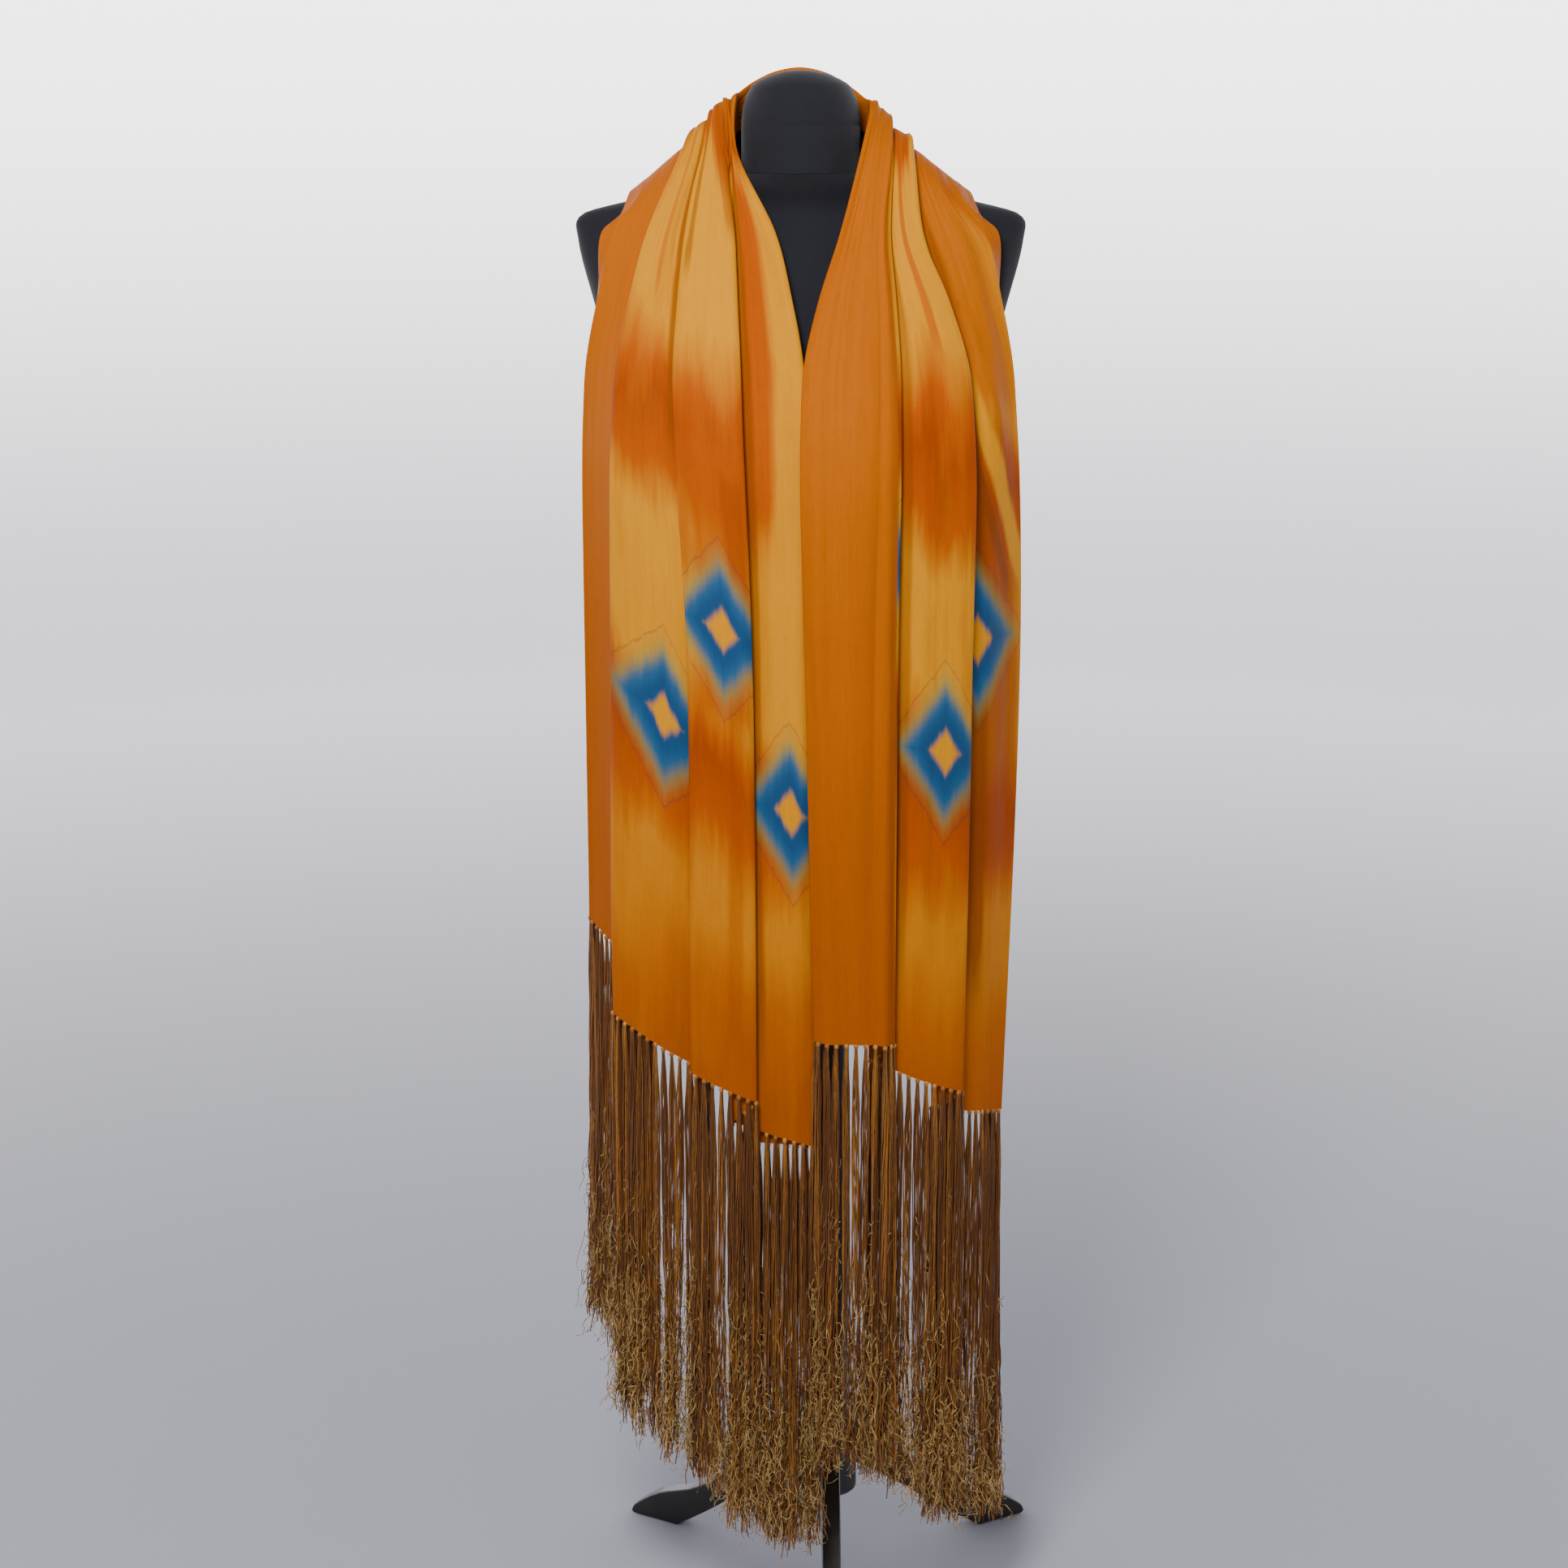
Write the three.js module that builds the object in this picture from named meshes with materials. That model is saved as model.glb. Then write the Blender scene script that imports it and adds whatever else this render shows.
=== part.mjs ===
// Long fringed silk shawl hung round the neck of a covered dress form on a three-legged stand.
// Millimetres, +Z up. While the part is worked out, x = 0 is the middle of the form, y = 0 is the
// depth of its neck, z = 0 is the floor, and -Y is the front. At the end everything is moved so
// that the origin is the bottom centre of the bounding box.
import * as THREE from 'three';
import { mergeVertices } from 'three/addons/utils/BufferGeometryUtils.js';

// Driving dimensions of the cloth
const WALL = 1.3;               // thickness of the cloth wall
const SEAM_GAP = 0.72;         // gap between one stretch of cloth and the next
const FOLD_NOSE = 2.4;          // reach of the round end of a fold
const FOLD_NOSE_SHARE = 0.3;    // and its largest share of the distance to the next fold
const NECK_LIFT_SHARE = 0.6;    // layers lie closer together round the neck than in the fronts
const HANG_POWER = 2.3;         // how square the fronts hang, seen from above
const FORM_CLEAR = 3.6;         // least distance from the form to the middle of the cloth
const TUCK_TOP = 1300;          // below this height the outer edge begins to turn back
const TUCK_FULL = 1170;
const THROAT_DEPTH_SHARE = 0.8;  // the cloth goes over the shoulder closer to the neck
const THROAT_DEPTH = 18;
const FRONT_ROWS = 22;          // rows of facets along a front
const BACK_ROWS = 14;           // rows of facets round the neck

// Driving dimensions of the fringe
const FRINGE_LENGTH = 388;      // from the hem to the ends of the locks
const FRINGE_UNEVEN = 9;        // how much the locks differ in length
const LOCKS_PER_END = 104;
const LOCK_TIP_SHARE = 0.6;     // a lock narrows to this share of its root
const LOCK_STRAIGHT = 0.6;     // the heading is bare where it turns back more sharply than this
const STRIP_WALL = 1.7;          // the knotted heading that holds the locks
const STRIP_HEIGHT = 4;
const STRIP_GAP = 0.9;          // straight down from the hem, less across it where it slants

// Driving dimensions of the form and its stand
const SEAT_GAP = 0.3;           // between two pieces that rest on each other
const STAND_X = 30;             // the stand's axis, right of the form's middle
const POLE_RADIUS = 17;
const HUB_RADIUS = 26;
const HUB_BOTTOM = 83;
const HUB_TOP = 172;
const LEG_BOARD = 18;
const NECK_RADIUS = 52.7;
const NECK_SEAM_Z = 1350;
const NECK_RIM_Z = 1392;
const CAP_EDGE_Z = 1425;
const CAP_EDGE_RADIUS = 44.5;
const CAP_TOP_Z = 1439;

// The form's sections from its base to the neck seam: half width, and depth to front and back
const FORM_SECTIONS = [
  { name: 'base', z: 655, half: 160, front: 103, back: 105 },
  { name: 'low hip', z: 690, half: 172, front: 106, back: 116 },
  { name: 'hip', z: 745, half: 177, front: 107, back: 122 },
  { name: 'high hip', z: 830, half: 158, front: 104, back: 105 },
  { name: 'waist', z: 930, half: 122, front: 92, back: 86 },
  { name: 'ribs', z: 1010, half: 138, front: 106, back: 95 },
  { name: 'bust', z: 1095, half: 152, front: 138, back: 105 },
  { name: 'upper chest', z: 1170, half: 166, front: 112, back: 112 },
  { name: 'armhole', z: 1240, half: 186, front: 82, back: 102 },
  { name: 'shoulder tip', z: 1295, half: 199, front: 50, back: 66 },
  { name: 'shoulder', z: 1315, half: 194, front: 40, back: 50 },
  { name: 'shoulder top', z: 1327, half: 150, front: 41, back: 48 },
  { name: 'neck slope', z: 1337, half: 108, front: 48, back: 53 },
  { name: 'neck seam', z: NECK_SEAM_Z, half: 66, front: 56, back: 58 },
];

// The surface on which the fronts hang: half width and depth in front, by height
const HANG_SECTIONS = [
  { z: 480, half: 208, front: 160 },
  { z: 930, half: 208, front: 157 },
  { z: 1095, half: 207, front: 152 },
  { z: 1145, half: 206, front: 141 },
  { z: 1190, half: 206, front: 122 },
  { z: 1245, half: 206, front: 93 },
  { z: 1300, half: 205, front: 64 },
  { z: 1335, half: 190, front: 52 },
  { z: 1365, half: 160, front: 42 },
];

// Heights at which every fold has a point, between its hem and the throat
const FRONT_LEVELS = [780, 930, 1010, 1095, 1145, 1190, 1245, 1300];

// The folds of the left front, from the cloth's outer edge to its inner edge. inner and outer
// are the distances of the layers that meet in the fold from the hanging surface, bulge is how
// much the cloth rounds out on its way to the next fold. hem, waist, chest and collar are
// positions across the form; throat and ridge are points in front of and on top of the shoulder.
const LEFT_FOLDS = [
  { name: 'outer edge', enter: 0, leave: 0, bulge: 0, tuck: 30, hemZ: 690,
    hem: -187, waist: -187, chest: -180, collar: -175, throat: [-160, 1313], ridge: [-150, 1335.6] },
  { name: 'side', enter: 2, leave: 2, bulge: 1, tuck: 0, hemZ: 686,
    hem: -191, waist: -191, chest: -187, collar: -162, throat: [-141, 1331], ridge: [-135, 1345] },
  { name: 'under plain fold', enter: 3, leave: 8, bulge: 0, tuck: 0, hemZ: 650,
    hem: -132, waist: -130, chest: -127, collar: -112, throat: [-94, 1362], ridge: [-82, 1388] },
  { name: 'plain fold', enter: 9, leave: 15, bulge: 4, tuck: 0, hemZ: 612,
    hem: -161, waist: -159, chest: -154, collar: -132, throat: [-106, 1353], ridge: [-93, 1379] },
  { name: 'under middle fold', enter: 3, leave: 8, bulge: 0, tuck: 0, hemZ: 562,
    hem: -80, waist: -72, chest: -84, collar: -84, throat: [-74, 1362], ridge: [-69, 1399] },
  { name: 'middle fold', enter: 13, leave: 18, bulge: 2, tuck: 0, hemZ: 568,
    hem: -94, waist: -94, chest: -106, collar: -99, throat: [-84, 1362], ridge: [-75, 1394] },
  { name: 'ridge fold', enter: 18, leave: 13, bulge: 0, tuck: 0, hemZ: 543,
    hem: -38, waist: -41, chest: -51, collar: -58, throat: [-64, 1365], ridge: [-64, 1403] },
  { name: 'under ridge fold', enter: 12, leave: 7, bulge: 1, tuck: 0, hemZ: 520,
    hem: -60, waist: -60, chest: -70, collar: -70, throat: [-61, 1366], ridge: [-61, 1406] },
  { name: 'neckline fold', enter: 7, leave: 2.3, bulge: 0, tuck: 0, hemZ: 497,
    hem: 15, waist: 5, chest: 2, collar: -22, throat: [-55, 1368], ridge: [-56, 1414] },
  { name: 'inner edge', enter: 1.5, leave: 1.5, bulge: 0, tuck: 0, hemZ: 500,
    hem: -42, waist: -46, chest: -46, collar: -52, throat: [-62, 1350], ridge: [-56.5, 1384] },
];

// The folds of the right front, from the cloth's outer edge to its inner edge
const RIGHT_FOLDS = [
  { name: 'outer edge', enter: 0, leave: 0, bulge: 0, tuck: 46, hemZ: 512,
    hem: 172, waist: 182, chest: 176, collar: 173, throat: [159, 1313], ridge: [149, 1335] },
  { name: 'side', enter: 2, leave: 2, bulge: 1, tuck: 0, hemZ: 506,
    hem: 184, waist: 195, chest: 184, collar: 160, throat: [140, 1331], ridge: [135, 1343] },
  { name: 'under valley fold', enter: 3, leave: 8, bulge: 0, tuck: 0, hemZ: 528,
    hem: 116, waist: 116, chest: 112, collar: 86, throat: [80, 1362], ridge: [79, 1384] },
  { name: 'valley fold', enter: 9, leave: 15, bulge: 4, tuck: 0, hemZ: 540,
    hem: 140, waist: 143, chest: 139, collar: 103, throat: [94, 1354], ridge: [91, 1373] },
  { name: 'under roll', enter: 3, leave: 8, bulge: 0, tuck: 0, hemZ: 578,
    hem: 60, waist: 60, chest: 62, collar: 62, throat: [66, 1364], ridge: [65, 1393] },
  { name: 'roll', enter: 13, leave: 18, bulge: 5, tuck: 0, hemZ: 595,
    hem: 80, waist: 80, chest: 82, collar: 76, throat: [76, 1358], ridge: [73, 1385] },
  { name: 'roll crest', enter: 25, leave: 25, bulge: 1, tuck: 0, hemZ: 598,
    hem: 60, waist: 58, chest: 62, collar: 62, throat: [66, 1361], ridge: [66, 1391] },
  { name: 'roll front', enter: 24, leave: 24, bulge: 4, tuck: 0, hemZ: 599,
    hem: 38, waist: 26, chest: 30, collar: 48, throat: [57, 1364], ridge: [60, 1396] },
  { name: 'neckline fold', enter: 18, leave: 13, bulge: 0, tuck: 0, hemZ: 600,
    hem: 16, waist: 3, chest: 2, collar: 33, throat: [49, 1366], ridge: [55.5, 1404] },
  { name: 'inner edge', enter: 12, leave: 12, bulge: 0, tuck: 0, hemZ: 600,
    hem: 34, waist: 24, chest: 23, collar: 44, throat: [56, 1349], ridge: [56, 1378] },
];

// The same folds in the middle of the back, as depth and height
const NAPE_FOLDS = [
  { name: 'outer edge', y: 116, z: 1172 },
  { name: 'side', y: 114, z: 1190 },
  { name: 'under plain fold', y: 84, z: 1306 },
  { name: 'plain fold', y: 92, z: 1280 },
  { name: 'under middle fold', y: 68, z: 1362 },
  { name: 'middle fold', y: 74, z: 1340 },
  { name: 'ridge fold', y: 66, z: 1396 },
  { name: 'under ridge fold', y: 65, z: 1402 },
  { name: 'neckline fold', y: 62, z: 1441 },
  { name: 'inner edge', y: 58, z: 1402 },
];
const NAPE_ANGLES = [22.5, 45, 67.5, 90, 112.5, 135, 157.5];

// The side outline of a leg, as distance from the stand's axis and height
const LEG_TOP = [[HUB_RADIUS, 150], [65, 115], [110, 76], [153, 46], [195, 30], [222, 12], [228, 2]];
const LEG_BOTTOM = [[225, 0], [173, 0], [139, 23], [100, 52], [65, 79], [HUB_RADIUS, 105]];

const silk = new THREE.MeshStandardMaterial({ color: 0xc8780f, roughness: 0.5, metalness: 0 });
const yarn = new THREE.MeshStandardMaterial({ color: 0x7a5526, roughness: 0.6, metalness: 0 });
const jersey = new THREE.MeshStandardMaterial({ color: 0x1c1c22, roughness: 0.95, metalness: 0 });
const paint = new THREE.MeshStandardMaterial({ color: 0x171413, roughness: 0.35, metalness: 0 });

const lerp = (a, b, t) => a + (b - a) * t;

// A smooth curve through points [at, value] that are sorted by at, evaluated at one place.
function throughPoints(points, at) {
  const last = points.length - 1;
  const place = THREE.MathUtils.clamp(at, points[0][0], points[last][0]);
  let k = 0;
  while (k < last - 1 && place > points[k + 1][0]) k++;
  const slope = (i) => {
    const before = points[Math.max(i - 1, 0)];
    const after = points[Math.min(i + 1, last)];
    return (after[1] - before[1]) / (after[0] - before[0]);
  };
  const [from, to] = [points[k], points[k + 1]];
  const span = to[0] - from[0];
  const t = (place - from[0]) / span;
  const rest = 1 - t;
  return rest * rest * (1 + 2 * t) * from[1] + t * rest * rest * span * slope(k)
    + t * t * (3 - 2 * t) * to[1] - t * t * rest * span * slope(k + 1);
}

const sectionValue = (sections, name, z) =>
  throughPoints(sections.map((section) => [section.z, section[name]]), z);

// Depth of the form's surface at a place, towards the front or the back, or 0 beside it.
function formDepth(x, z, side) {
  if (z > NECK_SEAM_Z) {
    return Math.abs(x) < NECK_RADIUS ? Math.sqrt(NECK_RADIUS ** 2 - x ** 2) : 0;
  }
  const half = sectionValue(FORM_SECTIONS, 'half', z);
  const share = Math.abs(x) / half;
  return share < 1 ? sectionValue(FORM_SECTIONS, side, z) * Math.sqrt(1 - share ** 2) : 0;
}

// Moves a point of the cloth out to where the form lets it lie.
function keepClear(at, side) {
  const depth = formDepth(at.x, at.z, side);
  if (depth === 0) return at;
  at.y = side === 'front' ? Math.min(at.y, -depth - FORM_CLEAR) : Math.max(at.y, depth + FORM_CLEAR);
  return at;
}

// The point of the hanging surface at a place of a front, with its outward direction.
function hangPoint(x, z, tuck) {
  const half = sectionValue(HANG_SECTIONS, 'half', z);
  const front = sectionValue(HANG_SECTIONS, 'front', z);
  const share = Math.min(Math.abs(x) / half, 0.99);
  const depth = front * (1 - share ** HANG_POWER) ** (1 / HANG_POWER);
  const out = new THREE.Vector3(
    Math.sign(x) * share ** (HANG_POWER - 1) / half,
    -((depth / front) ** (HANG_POWER - 1)) / front, 0).normalize();
  return { at: keepClear(new THREE.Vector3(x, tuck - depth, z), 'front'), out };
}

// One section across the cloth: every fold is a round nose of three points, with one more point
// half way to the next fold. baseAt gives the cloth's resting place at a fold, or between two.
function clothSection(folds, baseAt, share) {
  const last = folds.length - 1;
  const bases = folds.map((_, i) => baseAt(i));
  const lifted = (base, lift) => base.at.clone().addScaledVector(base.out, lift * share);
  const nose = (i, lift, towards) => {
    const way = bases[towards].at.clone().sub(bases[i].at);
    const reach = Math.min(FOLD_NOSE, way.length() * FOLD_NOSE_SHARE);
    return lifted(bases[i], lift).addScaledVector(way.normalize(), reach);
  };
  const columns = [];
  for (let i = 0; i <= last; i++) {
    const { enter, leave, bulge } = folds[i];
    if (i > 0 && i < last) columns.push(nose(i, enter, i - 1));
    columns.push(lifted(bases[i], (enter + leave) / 2));
    if (i > 0 && i < last) columns.push(nose(i, leave, i + 1));
    if (i < last) columns.push(lifted(baseAt(i + 0.5), (leave + folds[i + 1].enter) / 2 + bulge));
  }
  return columns;
}

// A value that every fold has, at a fold or between two.
function foldValue(folds, i, pick) {
  const from = folds[Math.floor(i)];
  const to = folds[Math.ceil(i)];
  return lerp(pick(from), pick(to), i - Math.floor(i));
}

// The sections of one front, from its hem up to the ridge of the shoulder.
function frontSections(folds) {
  const side = Math.sign(folds[0].hem);
  const acrossAt = (fold, z) => throughPoints(
    [[fold.hemZ, fold.hem], [930, fold.waist], [1190, fold.chest], [1300, fold.collar]], z);
  const frontAt = (i, heightOf) => {
    const z = foldValue(folds, i, heightOf);
    const x = foldValue(folds, i, (fold) => acrossAt(fold, heightOf(fold)));
    const tucked = THREE.MathUtils.clamp((TUCK_TOP - z) / (TUCK_TOP - TUCK_FULL), 0, 1);
    return hangPoint(x, z, foldValue(folds, i, (fold) => fold.tuck) * tucked);
  };
  const heights = [(fold) => fold.hemZ, ...FRONT_LEVELS.map((z) => () => z)];
  const sections = heights.map((heightOf) => clothSection(folds, (i) => frontAt(i, heightOf), 1));
  const throatOut = new THREE.Vector3(side * 0.35, -0.75, 0.55).normalize();
  sections.push(clothSection(folds, (i) => {
    const x = foldValue(folds, i, (fold) => fold.throat[0]);
    const z = foldValue(folds, i, (fold) => fold.throat[1]);
    const at = hangPoint(x, z, 0).at;
    at.y = Math.min(at.y * THROAT_DEPTH_SHARE, -THROAT_DEPTH);
    return { at: keepClear(at, 'front'), out: throatOut };
  }, lerp(NECK_LIFT_SHARE, 1, 0.4)));
  const ridgeOut = new THREE.Vector3(side * 0.67, 0, 0.74);
  sections.push(clothSection(folds, (i) => {
    const x = foldValue(folds, i, (fold) => fold.ridge[0]);
    const z = foldValue(folds, i, (fold) => fold.ridge[1]);
    return { at: new THREE.Vector3(x, 0, z), out: ridgeOut };
  }, NECK_LIFT_SHARE));
  return sections;
}

// The sections round the back of the neck, from the left ridge to the right one, without both.
function napeSections() {
  return NAPE_ANGLES.map((degrees) => {
    const angle = THREE.MathUtils.degToRad(degrees);
    const ridgeFolds = degrees <= 90 ? LEFT_FOLDS : RIGHT_FOLDS;
    const side = Math.sign(ridgeFolds[0].hem);
    const folds = LEFT_FOLDS.map((left, i) => Object.fromEntries(
      ['enter', 'leave', 'bulge'].map((key) => [key, lerp(left[key], RIGHT_FOLDS[i][key], degrees / 180)])));
    const sideways = Math.abs(Math.cos(angle));
    const towardsNape = Math.sin(angle) ** 2;
    const out = new THREE.Vector3(
      side * 0.67 * sideways, Math.sin(angle), lerp(0.74, 0.22, towardsNape)).normalize();
    return clothSection(folds, (i) => {
      const x = foldValue(ridgeFolds, i, (fold) => fold.ridge[0]) * sideways;
      const z = lerp(foldValue(ridgeFolds, i, (fold) => fold.ridge[1]),
        foldValue(NAPE_FOLDS, i, (fold) => fold.z), towardsNape);
      const y = foldValue(NAPE_FOLDS, i, (fold) => fold.y) * Math.sin(angle);
      return { at: keepClear(new THREE.Vector3(x, y, z), 'back'), out };
    }, NECK_LIFT_SHARE);
  });
}

// Every column of the cloth as a smooth curve along its whole length.
const leftSections = frontSections(LEFT_FOLDS);
const rightSections = frontSections(RIGHT_FOLDS);
const allSections = [...leftSections, ...napeSections(), ...rightSections.slice().reverse()];
const LEFT_RIDGE = leftSections.length - 1;
const RIGHT_RIDGE = allSections.length - rightSections.length;
const COLUMNS = allSections[0].length;
const columnCurves = [];
for (let c = 0; c < COLUMNS; c++) {
  const points = allSections.map((section) => section[c]);
  columnCurves.push(new THREE.CatmullRomCurve3(points, false, 'centripetal'));
}

// The cloth's rows between two places, counted in sections from the left hem.
function clothRows(from, to, count) {
  const sections = allSections.length - 1;
  return Array.from({ length: count + 1 }, (_, r) => {
    const place = lerp(from, to, r / count) / sections;
    return columnCurves.map((curve) => curve.getPoint(place));
  });
}

// The two faces of a wall of even thickness round a grid of middle points.
function wallFaces(rows, wall) {
  const height = rows.length;
  const width = rows[0].length;
  return [0.5, -0.5].map((side) => rows.map((row, r) => row.map((here, c) => {
    const along = rows[Math.min(r + 1, height - 1)][c].clone().sub(rows[Math.max(r - 1, 0)][c]);
    const before = here.clone().sub(row[Math.max(c - 1, 0)]).normalize();
    const after = row[Math.min(c + 1, width - 1)].clone().sub(here).normalize();
    const normal = before.add(after).cross(along).normalize();
    return here.clone().addScaledVector(normal, wall * side);
  })));
}

// The closed body between two faces that have the same rows and columns.
function wallBody(faces) {
  const height = faces[0].length;
  const width = faces[0][0].length;
  const positions = faces.flat(2).flatMap((point) => point.toArray());
  const at = (side, r, c) => (side * height + r) * width + c;
  const indices = [];
  const quad = (a, b, c, d) => indices.push(a, b, c, a, c, d);
  for (let r = 0; r < height - 1; r++) {
    for (let c = 0; c < width - 1; c++) {
      quad(at(0, r, c), at(0, r, c + 1), at(0, r + 1, c + 1), at(0, r + 1, c));
      quad(at(1, r, c), at(1, r + 1, c), at(1, r + 1, c + 1), at(1, r, c + 1));
    }
    quad(at(0, r, 0), at(0, r + 1, 0), at(1, r + 1, 0), at(1, r, 0));
    quad(at(0, r + 1, width - 1), at(0, r, width - 1), at(1, r, width - 1), at(1, r + 1, width - 1));
  }
  for (let c = 0; c < width - 1; c++) {
    quad(at(0, 0, c + 1), at(0, 0, c), at(1, 0, c), at(1, 0, c + 1));
    quad(at(0, height - 1, c), at(0, height - 1, c + 1), at(1, height - 1, c + 1), at(1, height - 1, c));
  }
  const geometry = new THREE.BufferGeometry();
  geometry.setAttribute('position', new THREE.Float32BufferAttribute(positions, 3));
  geometry.setIndex(indices);
  return geometry;
}

function signedVolume(geometry) {
  const position = geometry.getAttribute('position');
  const corner = (i) => new THREE.Vector3().fromBufferAttribute(position, geometry.index.getX(i));
  let volume = 0;
  for (let i = 0; i < geometry.index.count; i += 3) {
    volume += corner(i).dot(corner(i + 1).cross(corner(i + 2))) / 6;
  }
  return volume;
}

// Turns every facet over where a grid was walked the other way round.
function facingOut(geometry) {
  if (signedVolume(geometry) < 0) {
    const index = geometry.index.array;
    for (let i = 0; i < index.length; i += 3) [index[i], index[i + 1]] = [index[i + 1], index[i]];
  }
  geometry.computeVertexNormals();
  return geometry;
}

function named(name, geometry, material) {
  const mesh = new THREE.Mesh(facingOut(geometry), material);
  mesh.name = name;
  return mesh;
}

// The whole cloth, and the rows at which one stretch of it gives way to the next.
const LEFT_SEAM = FRONT_ROWS;
const RIGHT_SEAM = FRONT_ROWS + BACK_ROWS;
const clothGrid = [
  ...clothRows(0, LEFT_RIDGE, FRONT_ROWS),
  ...clothRows(LEFT_RIDGE, RIGHT_RIDGE, BACK_ROWS).slice(1),
  ...clothRows(RIGHT_RIDGE, allSections.length - 1, FRONT_ROWS).slice(1),
];
const clothFaces = wallFaces(clothGrid, WALL);

// A stretch of cloth between two rows, ending half a seam gap short of each seam.
function clothStretch(name, from, to) {
  const last = clothGrid.length - 1;
  const faces = clothFaces.map((face) => face.slice(from, to + 1));
  const shorten = (row, next) => {
    for (const face of faces) {
      const moved = face[row - from].map((point, c) => point.clone().add(
        clothGrid[next][c].clone().sub(clothGrid[row][c]).setLength(SEAM_GAP / 2)));
      face[row - from] = moved;
    }
  };
  if (from > 0) shorten(from, from + 1);
  if (to < last) shorten(to, to - 1);
  return named(name, wallBody(faces), silk);
}

// The points that share a polyline out evenly by length.
function evenPoints(points, count) {
  const path = new THREE.CurvePath();
  for (let c = 1; c < points.length; c++) path.add(new THREE.LineCurve3(points[c - 1], points[c]));
  return Array.from({ length: count + 1 }, (_, j) => path.getPoint(j / count));
}

// The knotted heading below a hem. Every second cell of it runs down into a lock of four sides.
function fringe(name, hem, seed) {
  const cells = 2 * LOCKS_PER_END + 1;
  const path = evenPoints(hem, cells);
  const strip = [0, STRIP_HEIGHT].map((drop) => path.map((point) =>
    point.clone().setZ(point.z - STRIP_GAP - drop)));
  const faces = wallFaces(strip, STRIP_WALL);
  const heading = wallBody(faces);
  const positions = Array.from(heading.getAttribute('position').array);
  const width = cells + 1;
  const bottomFront = (c) => width + c;
  const bottomBack = (c) => 3 * width + c;
  const wayAt = (c) => path[c + 1].clone().sub(path[c]).normalize();
  const isStraight = (c) => wayAt(c - 1).dot(wayAt(c + 1)) > LOCK_STRAIGHT;
  const isLockFloor = (triangle) => {
    const cell = Math.min(...triangle.map((v) => v % width));
    const low = triangle.every((v) => Math.floor(v / width) % 2 === 1);
    const across = new Set(triangle.map((v) => Math.floor(v / width))).size === 2;
    return low && across && cell % 2 === 1 && isStraight(cell);
  };
  const indices = [];
  for (let i = 0; i < heading.index.count; i += 3) {
    const triangle = [0, 1, 2].map((k) => heading.index.getX(i + k));
    if (!isLockFloor(triangle)) indices.push(...triangle);
  }
  for (let k = 0; k < LOCKS_PER_END; k++) {
    const c = 2 * k + 1;
    if (!isStraight(c)) continue;
    const rootRing = [bottomFront(c), bottomFront(c + 1), bottomBack(c + 1), bottomBack(c)];
    const corners = rootRing.map((v) => new THREE.Vector3().fromArray(positions, 3 * v));
    const middle = corners.reduce((sum, corner) => sum.add(corner), new THREE.Vector3()).divideScalar(4);
    const drop = FRINGE_LENGTH + FRINGE_UNEVEN * Math.sin(seed + k * 2.4);
    const tip = positions.length / 3;
    for (const corner of corners) {
      const end = corner.clone().lerp(middle, 1 - LOCK_TIP_SHARE).setZ(middle.z - drop);
      positions.push(...end);
    }
    for (let i = 0; i < 4; i++) {
      const j = (i + 1) % 4;
      indices.push(rootRing[i], rootRing[j], tip + j, rootRing[i], tip + j, tip + i);
    }
    indices.push(tip, tip + 1, tip + 2, tip, tip + 2, tip + 3);
  }
  const geometry = new THREE.BufferGeometry();
  geometry.setAttribute('position', new THREE.Float32BufferAttribute(positions, 3));
  geometry.setIndex(indices);
  return named(name, geometry, yarn);
}

function formTorso() {
  const AROUND = 44;
  const positions = [];
  const indices = [];
  for (const { z, half, front, back } of FORM_SECTIONS) {
    for (let i = 0; i < AROUND; i++) {
      const angle = 2 * Math.PI * i / AROUND;
      const depth = Math.sin(angle) > 0 ? back : front;
      positions.push(half * Math.cos(angle), depth * Math.sin(angle), z);
    }
  }
  const rings = FORM_SECTIONS.length;
  for (let r = 0; r < rings - 1; r++) {
    for (let i = 0; i < AROUND; i++) {
      const next = (i + 1) % AROUND;
      const [a, b] = [r * AROUND + i, r * AROUND + next];
      indices.push(a, b, b + AROUND, a, b + AROUND, a + AROUND);
    }
  }
  for (let i = 1; i < AROUND - 1; i++) {
    indices.push(0, i + 1, i);
    const top = (rings - 1) * AROUND;
    indices.push(top, top + i, top + i + 1);
  }
  const geometry = new THREE.BufferGeometry();
  geometry.setAttribute('position', new THREE.Float32BufferAttribute(positions, 3));
  geometry.setIndex(indices);
  return named('form_torso', geometry, jersey);
}

function lathe(name, profile, material, sides = 36) {
  const points = profile.map(([radius, z]) => new THREE.Vector2(radius, z));
  const geometry = new THREE.LatheGeometry(points, sides).rotateX(Math.PI / 2);
  const bare = geometry.clone();
  bare.deleteAttribute('normal');
  bare.deleteAttribute('uv');
  return named(name, mergeVertices(bare, 1e-4), material);
}

function formNeck() {
  return lathe('form_neck', [
    [0, NECK_SEAM_Z + SEAT_GAP], [NECK_RADIUS + 1, NECK_SEAM_Z + SEAT_GAP], [NECK_RADIUS, 1370],
    [NECK_RADIUS, NECK_RIM_Z], [51, 1408], [CAP_EDGE_RADIUS + 2.5, 1419], [CAP_EDGE_RADIUS, CAP_EDGE_Z],
    [36, 1430.5], [24, 1435.5], [12, 1438.2], [0, CAP_TOP_Z],
  ], jersey, 30);
}

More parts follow.
